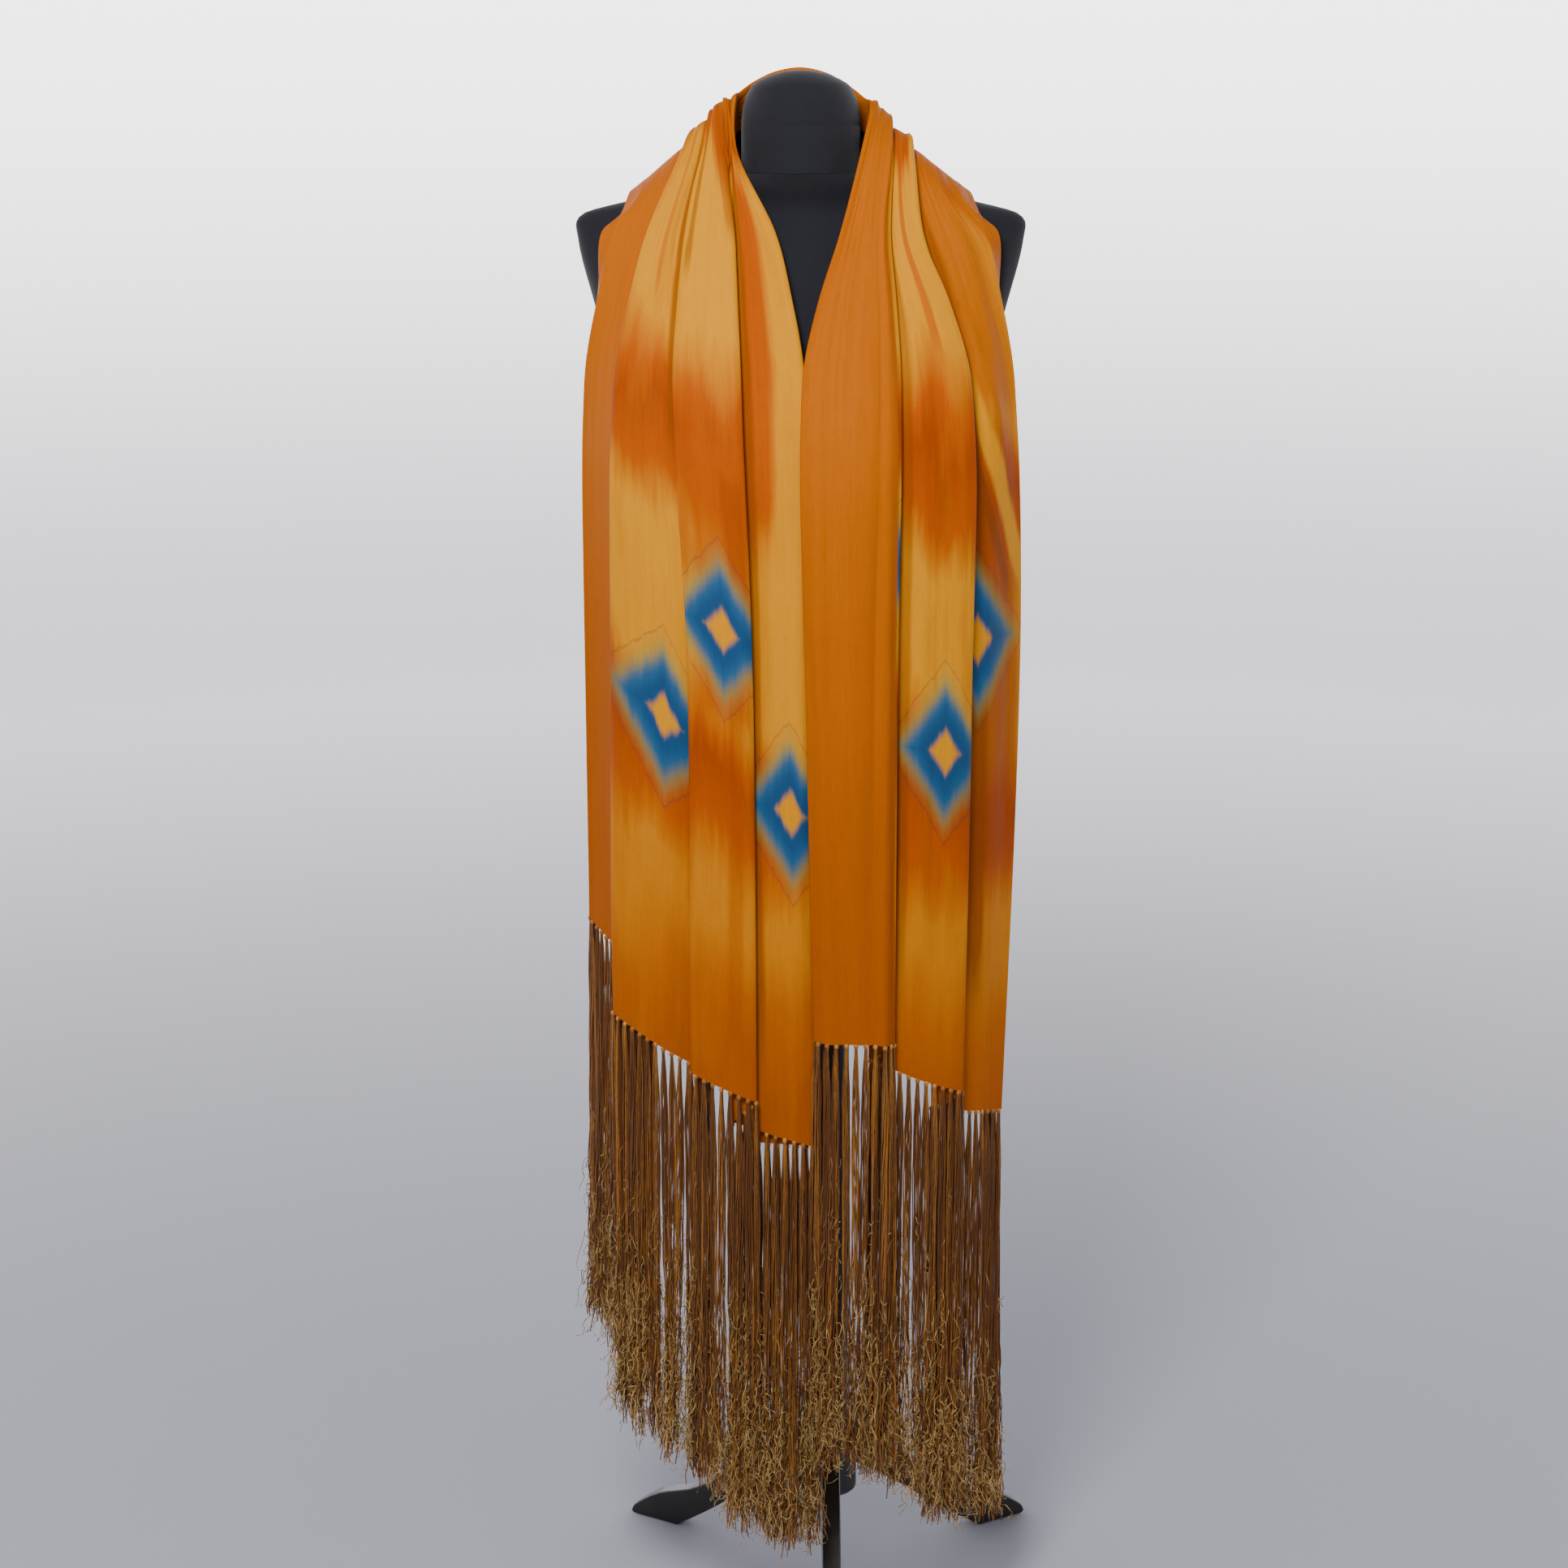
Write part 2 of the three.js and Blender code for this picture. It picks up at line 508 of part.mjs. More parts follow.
function leg(name, degrees) {
  const outline = new THREE.Shape();
  outline.moveTo(...LEG_TOP[0]);
  outline.splineThru(LEG_TOP.slice(1).map(([r, z]) => new THREE.Vector2(r, z)));
  outline.lineTo(...LEG_BOTTOM[0]);
  outline.lineTo(...LEG_BOTTOM[1]);
  outline.splineThru(LEG_BOTTOM.slice(2).map(([r, z]) => new THREE.Vector2(r, z)));
  const board = new THREE.ExtrudeGeometry(outline, {
    depth: LEG_BOARD - 2, curveSegments: 3, bevelEnabled: true, bevelThickness: 1, bevelSize: 1,
    bevelOffset: -1, bevelSegments: 1,
  });
  board.translate(SEAT_GAP, 0, 1 - LEG_BOARD / 2);
  board.rotateX(Math.PI / 2);
  board.rotateZ(THREE.MathUtils.degToRad(degrees));
  board.translate(STAND_X, 0, 0);
  const bare = board.clone();
  bare.deleteAttribute('normal');
  bare.deleteAttribute('uv');
  return named(name, mergeVertices(bare, 1e-3), paint);
}

function atStand(mesh) {
  mesh.position.x = STAND_X;
  return mesh;
}

const shawl = new THREE.Group();
shawl.add(
  clothStretch('shawl_left_front', 0, LEFT_SEAM),
  clothStretch('shawl_back', LEFT_SEAM, RIGHT_SEAM),
  clothStretch('shawl_right_front', RIGHT_SEAM, clothGrid.length - 1),
  fringe('fringe_left', leftSections[0], 1),
  fringe('fringe_right', rightSections[0], 4),
);

const stand = new THREE.Group();
stand.add(
  formTorso(), formNeck(),
  atStand(lathe('pole', [[0, HUB_TOP + SEAT_GAP], [POLE_RADIUS, HUB_TOP + SEAT_GAP],
    [POLE_RADIUS, FORM_SECTIONS[0].z - SEAT_GAP], [0, FORM_SECTIONS[0].z - SEAT_GAP]], paint, 28)),
  atStand(lathe('hub', [[0, HUB_BOTTOM], [HUB_RADIUS - 3, HUB_BOTTOM], [HUB_RADIUS, HUB_BOTTOM + 3],
    [HUB_RADIUS, HUB_TOP - 4], [HUB_RADIUS - 4, HUB_TOP], [0, HUB_TOP]], paint)),
  leg('leg_front', -90), leg('leg_right', 30), leg('leg_left', 150),
);

const group = new THREE.Group();
group.add(shawl, stand);
group.updateMatrixWorld(true);
const box = new THREE.Box3().setFromObject(group);
const middle = box.getCenter(new THREE.Vector3());
group.position.set(-middle.x, -middle.y, -box.min.z);
group.updateMatrixWorld(true);

export default group;
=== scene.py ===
"""Dresses the piano shawl on its dress form: dyed silk, knotted fringe, jersey and painted wood."""
import logging
import math
from dataclasses import dataclass, field
from enum import Enum

import bpy
import numpy as np
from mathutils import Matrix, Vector


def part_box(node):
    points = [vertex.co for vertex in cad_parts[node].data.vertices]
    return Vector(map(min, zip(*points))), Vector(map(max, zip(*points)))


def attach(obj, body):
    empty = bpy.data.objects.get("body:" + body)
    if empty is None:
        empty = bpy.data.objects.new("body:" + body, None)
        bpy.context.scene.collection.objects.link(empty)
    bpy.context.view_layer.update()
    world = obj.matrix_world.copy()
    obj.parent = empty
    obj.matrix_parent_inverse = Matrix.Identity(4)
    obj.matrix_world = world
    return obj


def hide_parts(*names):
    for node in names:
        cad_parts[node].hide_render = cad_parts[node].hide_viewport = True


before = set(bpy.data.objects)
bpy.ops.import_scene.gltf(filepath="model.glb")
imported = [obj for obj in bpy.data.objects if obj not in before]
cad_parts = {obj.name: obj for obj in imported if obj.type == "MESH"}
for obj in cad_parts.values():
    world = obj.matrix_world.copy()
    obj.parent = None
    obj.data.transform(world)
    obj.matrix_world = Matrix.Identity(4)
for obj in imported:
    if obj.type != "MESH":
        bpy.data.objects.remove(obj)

log = logging.getLogger("shawl")
MM = 0.001
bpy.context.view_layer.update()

# The middle of the form and the depth of its neck, in the frame: the stand's axis is 30 mm to the
# right of the form's middle.
STAND_X = 30.0
_pole_low, _pole_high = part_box("pole")
FORM_X = (_pole_low.x + _pole_high.x) / 2 - STAND_X * MM
FORM_Y = (_pole_low.y + _pole_high.y) / 2


def in_frame(points: np.ndarray) -> np.ndarray:
    """Turns millimetres round the form's middle into metres of the frame.

    Args:
        points: Places as x, y, z in their last axis.

    Returns:
        The same places in the frame.
    """
    return np.asarray(points, float) * MM + np.array([FORM_X, FORM_Y, 0.0])


def through_points(places: list[float], values: list[float], at: float) -> float:
    """Follows a smooth curve through values given at some places.

    Args:
        places: Where the values hold, rising.
        values: The values there.
        at: Where the curve is read.

    Returns:
        The curve's value, held level beyond both ends.
    """
    last = len(places) - 1
    at = min(max(at, places[0]), places[-1])
    k = 0
    while k < last - 1 and at > places[k + 1]:
        k += 1

    def slope(i: int) -> float:
        """The curve's slope at a place."""
        low, high = max(i - 1, 0), min(i + 1, last)
        return (values[high] - values[low]) / (places[high] - places[low])

    span = places[k + 1] - places[k]
    t = (at - places[k]) / span
    rest = 1 - t
    return (rest * rest * (1 + 2 * t) * values[k] + t * rest * rest * span * slope(k)
            + t * t * (3 - 2 * t) * values[k + 1] - t * t * rest * span * slope(k + 1))


def mix(a: float, b: float, t: float) -> float:
    """The value a share t of the way from a to b."""
    return a + (b - a) * t


@dataclass(frozen=True)
class Section:
    """A level section of the form, in millimetres."""

    z: float
    half: float
    front: float
    back: float


FORM_SECTIONS = (
    Section(655, 160, 103, 105), Section(690, 172, 106, 116), Section(745, 177, 107, 122),
    Section(830, 158, 104, 105), Section(930, 122, 92, 86), Section(1010, 138, 106, 95),
    Section(1095, 152, 138, 105), Section(1170, 166, 112, 112), Section(1240, 186, 82, 102),
    Section(1295, 199, 50, 66), Section(1315, 194, 40, 50), Section(1327, 150, 41, 48),
    Section(1337, 108, 48, 53), Section(1350, 66, 56, 58),
)
NECK_RADIUS = 52.7
NECK_SEAM_Z = 1350.0


def form_size(name: str, z: float) -> float:
    """One size of the form at a height, from its sections."""
    return through_points([s.z for s in FORM_SECTIONS], [getattr(s, name) for s in FORM_SECTIONS], z)


def form_depth(x: float, z: float, side: str) -> float:
    """How deep the form's surface lies at a place.

    Args:
        x: Place across the form.
        z: Height.
        side: front or back.

    Returns:
        The depth, or 0 beside the form.
    """
    if z > NECK_SEAM_Z:
        return math.sqrt(NECK_RADIUS ** 2 - x ** 2) if abs(x) < NECK_RADIUS else 0.0
    share = abs(x) / form_size("half", z)
    return form_size(side, z) * math.sqrt(1 - share ** 2) if share < 1 else 0.0


@dataclass(frozen=True)
class Fold:
    """One fold of the cloth where it hangs in front and goes over the shoulder, in millimetres."""

    name: str
    cloth: tuple[float, float]
    layers: tuple[float, float]
    bulge: float
    tuck: float
    hem_z: float
    across: tuple[float, float, float, float]
    throat: tuple[float, float]
    ridge: tuple[float, float]


LEFT_FOLDS = (
    Fold("outer edge", (0, 0), (0, 0), 0, 30, 690, (-187, -187, -180, -175), (-160, 1313), (-150, 1335.6)),
    Fold("side", (30, 30), (2, 2), 1, 0, 686, (-191, -191, -187, -162), (-141, 1331), (-135, 1345)),
    Fold("under plain", (102, 102), (3, 8), 0, 0, 650, (-132, -130, -127, -112), (-94, 1362), (-82, 1388)),
    Fold("plain fold", (132, 132), (9, 15), 4, 0, 612, (-161, -159, -154, -132), (-106, 1353), (-93, 1379)),
    Fold("under middle", (222, 222), (3, 8), 0, 0, 562, (-80, -72, -84, -84), (-74, 1362), (-69, 1399)),
    Fold("middle fold", (250, 250), (13, 18), 2, 0, 568, (-94, -94, -106, -99), (-84, 1362), (-75, 1394)),
    Fold("ridge fold", (306, 306), (18, 13), 0, 0, 543, (-38, -41, -51, -58), (-64, 1365), (-64, 1403)),
    Fold("under ridge", (334, 334), (12, 7), 1, 0, 520, (-60, -60, -70, -70), (-61, 1366), (-61, 1406)),
    Fold("neckline", (404, 404), (7, 2.3), 0, 0, 497, (15, 5, 2, -22), (-55, 1368), (-56, 1414)),
    Fold("inner edge", (500, 500), (1.5, 1.5), 0, 0, 500, (-42, -46, -46, -52), (-62, 1350), (-56.5, 1384)),
)
RIGHT_FOLDS = (
    Fold("outer edge", (70, 0), (0, 0), 0, 46, 512, (172, 182, 176, 173), (159, 1313), (149, 1335)),
    Fold("side", (130, 60), (2, 2), 1, 0, 506, (184, 195, 184, 160), (140, 1331), (135, 1343)),
    Fold("under valley", (225, 205), (3, 8), 0, 0, 528, (116, 116, 112, 86), (80, 1362), (79, 1384)),
    Fold("valley fold", (255, 240), (9, 15), 4, 0, 540, (140, 143, 139, 103), (94, 1354), (91, 1373)),
    Fold("under roll", (350, 345), (3, 8), 0, 0, 578, (60, 60, 62, 62), (66, 1364), (65, 1393)),
    Fold("roll", (402, 395), (13, 18), 5, 0, 595, (80, 80, 82, 76), (76, 1358), (73, 1385)),
    Fold("roll crest", (425, 420), (25, 25), 1, 0, 598, (60, 58, 62, 62), (66, 1361), (66, 1391)),
    Fold("roll front", (450, 445), (24, 24), 4, 0, 599, (38, 26, 30, 48), (57, 1364), (60, 1396)),
    Fold("neckline", (476, 472), (18, 13), 0, 0, 600, (11, 3, 2, 33), (49, 1366), (55.5, 1404)),
    Fold("inner edge", (500, 500), (12, 12), 0, 0, 600, (34, 24, 23, 44), (56, 1349), (56, 1378)),
)
NAPE = ((116, 1172), (114, 1190), (84, 1306), (92, 1280), (68, 1362), (74, 1340), (66, 1396),
        (65, 1402), (62, 1441), (58, 1402))
HANG_HEIGHTS = [480, 930, 1095, 1145, 1190, 1245, 1300, 1335, 1365]
HANG_HALF = [208, 208, 207, 206, 206, 206, 205, 190, 160]
HANG_FRONT = [160, 157, 152, 141, 122, 93, 64, 52, 42]
HANG_POWER = 2.3
FORM_CLEAR = 3.6
FOLD_NOSE = 2.4
FOLD_NOSE_SHARE = 0.3
NECK_LIFT_SHARE = 0.6
FRONT_LEVELS = (780, 930, 1010, 1095, 1145, 1190, 1245, 1300)
NAPE_ANGLES = (22.5, 45, 67.5, 90, 112.5, 135, 157.5)
TUCK_TOP, TUCK_FULL = 1300, 1170
THROAT_DEPTH, THROAT_DEPTH_SHARE = 18, 0.8


@dataclass(frozen=True)
class Crease:
    """A soft trough or ridge along the cloth: places across and along it, in millimetres."""

    across: float
    start: float
    end: float
    width: float
    lift: float
    slant: float = 0.0


# Set one by one, uneven, from the left hem at 0 to the right hem at about 2024 along the cloth
CREASES = (
    Crease(20, 60, 560, 9, 1.6), Crease(48, 0, 420, 14, -2.2, 6), Crease(72, 180, 700, 10, 1.8),
    Crease(148, 30, 330, 13, 2.4, 10), Crease(163, 260, 640, 9, -2.6, -8),
    Crease(178, 430, 800, 8, -4.2, 12), Crease(192, 0, 300, 12, -2.8, -12),
    Crease(205, 380, 760, 10, 2.6, 6), Crease(262, 60, 360, 8, 2.0, 6),
    Crease(280, 0, 240, 9, -3.0, -8), Crease(285, 420, 820, 8, -2.4, 4),
    Crease(296, 200, 520, 7, 2.2), Crease(352, 60, 420, 10, 2.4, 10),
    Crease(368, 240, 700, 9, -3.0, -6), Crease(386, 0, 360, 10, 2.0),
    Crease(392, 480, 860, 7, -2.0, 6), Crease(330, 760, 1180, 12, 4.0, 30),
    Crease(250, 800, 1160, 16, -5.0, -20), Crease(120, 840, 1150, 16, 4.0, 24),
    Crease(60, 860, 1120, 14, -3.5, 10), Crease(190, 860, 1120, 13, 4.5, -30),
    Crease(160, 1480, 1950, 12, 2.4, 8), Crease(185, 1200, 1640, 10, -2.6, -10),
    Crease(140, 1180, 1500, 10, 5.0, 34), Crease(205, 1560, 1950, 9, 2.0),
    Crease(285, 1280, 1700, 10, -2.4, 6), Crease(308, 1600, 1950, 12, 2.6, -8),
    Crease(330, 1180, 1560, 9, 2.0, 8), Crease(334, 1500, 1900, 8, -2.4, -4),
    Crease(412, 1260, 1700, 8, -1.8), Crease(436, 1400, 1950, 12, 2.4, 5),
    Crease(458, 1180, 1640, 8, -2.2, 6), Crease(466, 1660, 1950, 9, -2.0),
    Crease(246, 1010, 1290, 6, 3.6, 2), Crease(159, 1250, 1470, 7, 4.2, -40),
    Crease(171, 1240, 1480, 5, -2.6, -38), Crease(156, 500, 860, 6, -2.4, -6),
    Crease(170, 120, 520, 6, -1.8, 6), Crease(214, 60, 420, 5, 1.8, 4),
    Crease(272, 300, 700, 5, 2.2, -6), Crease(300, 480, 900, 5, 2.4, 8),
    Crease(362, 520, 900, 6, 2.6, -6), Crease(378, 80, 520, 5, -1.8, 8),
    Crease(398, 240, 620, 5, 1.8, -4), Crease(10, 200, 640, 6, 1.6),
    Crease(272, 1200, 1480, 5, 2.4, 6), Crease(296, 1480, 1900, 5, -1.8, -6),
    Crease(320, 1280, 1640, 5, 2.0, 8), Crease(446, 1220, 1560, 5, 1.8, -4),
    Crease(424, 1520, 1900, 5, -1.6, 4), Crease(148, 1500, 1860, 6, -2.0, 8),
)


class Drape:
    """Works out where the cloth lies: a grid of places, with where each one is on the flat cloth."""

    def __init__(self, rows: int = 216, long_steps: int = 6, nose_steps: int = 3) -> None:
        """Builds the grid.

        Args:
            rows: Rows along the cloth.
            long_steps: Steps between the noses of two folds, each half.
            nose_steps: Steps along each half of a nose.
        """
        self.left = self._front(LEFT_FOLDS, 0)
        self.right = self._front(RIGHT_FOLDS, 1)
        nape = self._nape()
        sections = self.left + nape + self.right[::-1]
        places = np.array([[p for p, _ in section] for section in sections])
        across = np.array([[u for _, u in section] for section in sections])
        stretch = np.linspace(0, len(sections) - 1, rows + 1)
        grid = self._spline(np.dstack([places, across]), stretch)
        steps = self._column_steps(long_steps, nose_steps)
        grid = self._spline(grid.transpose(1, 0, 2), steps).transpose(1, 0, 2)
        self.points = grid[:, :, :3]
        self.across = grid[:, :, 3]
        lengths = np.linalg.norm(np.diff(self.points, axis=0), axis=2)
        reach = np.vstack([np.zeros(lengths.shape[1]), np.cumsum(lengths, axis=0)])
        self.length = float(np.median(reach[-1]))
        self.along = reach / reach[-1] * self.length
        self._crease()

    @staticmethod
    def _lifted(base: tuple[np.ndarray, np.ndarray], lift: float) -> np.ndarray:
        """A place that far out from the hanging surface."""
        return base[0] + base[1] * lift

    def _section(self, folds: tuple, base_at, share: float, clothing) -> list:
        """One section across the cloth, through the noses of its folds and points between them."""
        last = len(folds) - 1
        bases = [base_at(i) for i in range(last + 1)]
        columns = []

        def nose(i: int, lift: float, towards: int) -> np.ndarray:
            """The point of a nose on the side of another fold."""
            way = bases[towards][0] - bases[i][0]
            size = float(np.linalg.norm(way))
            reach = min(FOLD_NOSE, size * FOLD_NOSE_SHARE)
            return self._lifted(bases[i], lift * share) + way / size * reach

        for i in range(last + 1):
            enter, leave = folds[i][0]
            u = clothing(i)
            if 0 < i < last:
                columns.append((nose(i, enter, i - 1), u - 3.2))
            columns.append((self._lifted(bases[i], (enter + leave) / 2 * share), u))
            if 0 < i < last:
                columns.append((nose(i, leave, i + 1), u + 3.2))
            if i < last:
                lift = ((leave + folds[i + 1][0][0]) / 2 + folds[i][1]) * share
                columns.append((self._lifted(base_at(i + 0.5), lift), (u + clothing(i + 1)) / 2))
        return columns

    @staticmethod
    def _between(folds: tuple, i: float, pick) -> float:
        """A value that every fold has, at a fold or between two."""
        low = int(math.floor(i))
        return mix(pick(folds[low]), pick(folds[int(math.ceil(i))]), i - low)

    @staticmethod
    def _clear(x: float, y: float, z: float, side: str) -> np.ndarray:
        """Moves a place out to where the form lets it lie."""
        depth = form_depth(x, z, side)
        if depth > 0:
            y = min(y, -depth - FORM_CLEAR) if side == "front" else max(y, depth + FORM_CLEAR)
        return np.array([x, y, z])

    def _hang(self, x: float, z: float, tuck: float) -> tuple[np.ndarray, np.ndarray]:
        """A place of the hanging surface, with its outward direction."""
        half = through_points(HANG_HEIGHTS, HANG_HALF, z)
        front = through_points(HANG_HEIGHTS, HANG_FRONT, z)
        share = min(abs(x) / half, 0.99)
        depth = front * (1 - share ** HANG_POWER) ** (1 / HANG_POWER)
        out = np.array([math.copysign(share ** (HANG_POWER - 1) / half, x),
                        -((depth / front) ** (HANG_POWER - 1)) / front, 0.0])
        return self._clear(x, tuck - depth, z, "front"), out / np.linalg.norm(out)

    def _front(self, folds: tuple, side: int) -> list:
        """The sections of one front, from its hem to the ridge of the shoulder."""
        layers = [(fold.layers, fold.bulge) for fold in folds]
        way = math.copysign(1.0, folds[0].across[0])

        def across_at(fold: Fold, z: float) -> float:
            """Where a fold is across the form at a height."""
            return through_points([fold.hem_z, 930, 1190, 1300], list(fold.across), z)

        def hanging(i: float, height_of) -> tuple[np.ndarray, np.ndarray]:
            """The hanging surface at a fold, or between two."""
            z = self._between(folds, i, height_of)
            x = self._between(folds, i, lambda fold: across_at(fold, height_of(fold)))
            tucked = min(max((TUCK_TOP - z) / (TUCK_TOP - TUCK_FULL), 0), 1)
            return self._hang(x, z, self._between(folds, i, lambda fold: fold.tuck) * tucked)

        sections = []
        levels = [lambda fold: fold.hem_z] + [lambda _, z=z: z for z in FRONT_LEVELS]
        for step, height_of in enumerate(levels):
            up = step / (len(levels) + 2)
            sections.append(self._section(
                layers, lambda i, h=height_of: hanging(i, h), 1,
                lambda i, up=up: mix(folds[i].cloth[0], folds[i].cloth[1], up ** 2)))
        throat_out = np.array([way * 0.35, -0.75, 0.55])
        throat_out /= np.linalg.norm(throat_out)

        def at_throat(i: float) -> tuple[np.ndarray, np.ndarray]:
            """The cloth's place just in front of the shoulder."""
            x = self._between(folds, i, lambda fold: fold.throat[0])
            z = self._between(folds, i, lambda fold: fold.throat[1])
            y = min(self._hang(x, z, 0)[0][1] * THROAT_DEPTH_SHARE, -THROAT_DEPTH)
            return self._clear(x, y, z, "front"), throat_out

        def at_ridge(i: float) -> tuple[np.ndarray, np.ndarray]:
            """The cloth's place on top of the shoulder."""
            x = self._between(folds, i, lambda fold: fold.ridge[0])
            z = self._between(folds, i, lambda fold: fold.ridge[1])
            return np.array([x, 0.0, z]), np.array([way * 0.67, 0.0, 0.74])

        sections.append(self._section(layers, at_throat, mix(NECK_LIFT_SHARE, 1, 0.4),
                                      lambda i: mix(folds[i].cloth[0], folds[i].cloth[1], 0.85)))
        sections.append(self._section(layers, at_ridge, NECK_LIFT_SHARE, lambda i: folds[i].cloth[1]))
        return sections

    def _nape(self) -> list:
        """The sections round the back of the neck, without both ridges."""
        sections = []
        for degrees in NAPE_ANGLES:
            angle = math.radians(degrees)
            ridge_folds = LEFT_FOLDS if degrees <= 90 else RIGHT_FOLDS
            way = -1 if degrees <= 90 else 1
            turn = degrees / 180
            layers = [((mix(a.layers[0], b.layers[0], turn), mix(a.layers[1], b.layers[1], turn)),
                       mix(a.bulge, b.bulge, turn)) for a, b in zip(LEFT_FOLDS, RIGHT_FOLDS)]
            sideways, towards = abs(math.cos(angle)), math.sin(angle) ** 2
            out = np.array([way * 0.67 * sideways, math.sin(angle), mix(0.74, 0.22, towards)])
            out /= np.linalg.norm(out)

            def base(i: float) -> tuple[np.ndarray, np.ndarray]:
                """The cloth's place behind the neck."""
                x = self._between(ridge_folds, i, lambda fold: fold.ridge[0]) * sideways
                z = mix(self._between(ridge_folds, i, lambda fold: fold.ridge[1]),
                        self._between(NAPE, i, lambda fold: fold[1]), towards)
                y = self._between(NAPE, i, lambda fold: fold[0]) * math.sin(angle)
                return self._clear(x, y, z, "back"), out

            sections.append(self._section(
                layers, base, NECK_LIFT_SHARE,
                lambda i: mix(LEFT_FOLDS[i].cloth[1], RIGHT_FOLDS[i].cloth[1], turn)))
        return sections

    @staticmethod
    def _column_steps(long_steps: int, nose_steps: int) -> np.ndarray:
        """Where the fine columns lie, counted in columns of a section."""
        folds = len(LEFT_FOLDS)
        counts = []
        for i in range(folds):
            if 0 < i < folds - 1:
                counts += [nose_steps, nose_steps]
            if i < folds - 1:
                counts += [long_steps, long_steps]
        marks = [0.0]
        for column, count in enumerate(counts):
            marks += [column + (k + 1) / count for k in range(count)]
        return np.array(marks)

    @staticmethod
    def _spline(grid: np.ndarray, marks: np.ndarray) -> np.ndarray:
        """A smooth centripetal curve down each column of a grid.

        Args:
            grid: Rows of columns of values, the first three of them a place.
            marks: Where to read it, counted in rows.

        Returns:
            The values at the marks.
        """
        first, last = 2 * grid[0] - grid[1], 2 * grid[-1] - grid[-2]
        knots = np.concatenate([first[None], grid, last[None]])
        k = np.minimum(marks.astype(int), len(grid) - 2)
        t = (marks - k)[:, None, None]
        p0, p1, p2, p3 = (knots[k + i] for i in range(4))
        gaps = [np.sqrt(np.linalg.norm((b - a)[:, :, :3], axis=2, keepdims=True)) + 1e-6
                for a, b in ((p0, p1), (p1, p2), (p2, p3))]
        d0, d1, d2 = gaps
        m1 = ((p1 - p0) / d0 - (p2 - p0) / (d0 + d1) + (p2 - p1) / d1) * d1
        m2 = ((p2 - p1) / d1 - (p3 - p1) / (d1 + d2) + (p3 - p2) / d2) * d1
        return (p1 * (2 * t ** 3 - 3 * t ** 2 + 1) + m1 * (t ** 3 - 2 * t ** 2 + t)
                + p2 * (3 * t ** 2 - 2 * t ** 3) + m2 * (t ** 3 - t ** 2))

    def normals(self) -> np.ndarray:
        """The outward direction of the cloth at every place of the grid."""
        rows, columns = np.gradient(self.points, axis=0), np.gradient(self.points, axis=1)
        normal = np.cross(columns, rows)
        return normal / np.linalg.norm(normal, axis=2, keepdims=True)

    def _crease(self) -> None:
        """Presses the hand-set creases into the cloth, softly at their ends."""
        lift = np.zeros(self.across.shape)
        for crease in CREASES:
            reach = np.clip((self.along - crease.start) / (crease.end - crease.start), 0, 1)
            fade = np.sin(np.pi * reach) ** 0.7
            middle = crease.across + crease.slant * (reach - 0.5)
            lift += crease.lift * fade * np.exp(-((self.across - middle) / crease.width) ** 2)
        self.points = self.points + self.normals() * lift[:, :, None]


class Maths:
    """A shader value that Python's operators work on."""

    def __init__(self, shader: "Shader", socket: bpy.types.NodeSocket) -> None:
        """Wraps a socket of a material's nodes."""
        self.shader, self.socket = shader, socket

    def _with(self, operation: str, *values) -> "Maths":
        """Adds one Math node."""
        return self.shader.node("ShaderNodeMath", {"operation": operation}, values)

    def __add__(self, other) -> "Maths":
        """Sum."""
        return self._with("ADD", self, other)

    __radd__ = __add__

    def __sub__(self, other) -> "Maths":
        """Difference."""
        return self._with("SUBTRACT", self, other)

    def __rsub__(self, other) -> "Maths":
        """Difference, the other way."""
        return self._with("SUBTRACT", other, self)

    def __mul__(self, other) -> "Maths":
        """Product."""
        return self._with("MULTIPLY", self, other)

    __rmul__ = __mul__

    def __truediv__(self, other) -> "Maths":
        """Quotient."""
        return self._with("DIVIDE", self, other)

    def __pow__(self, other) -> "Maths":
        """Power."""
        return self._with("POWER", self, other)

    def clamped(self, low: float = 0.0, high: float = 1.0) -> "Maths":
        """The value kept between two others, on a smooth step."""
        return self.shader.node(
            "ShaderNodeMapRange", {"interpolation_type": "SMOOTHSTEP"}, (self, low, high, 0.0, 1.0))

    def smaller(self, other) -> "Maths":
        """The smaller of two values."""
        return self._with("MINIMUM", self, other)

    def wave(self) -> "Maths":
        """The value's sine."""
        return self._with("SINE", self)

    def size(self) -> "Maths":
        """The value without its sign."""
        return self._with("ABSOLUTE", self)


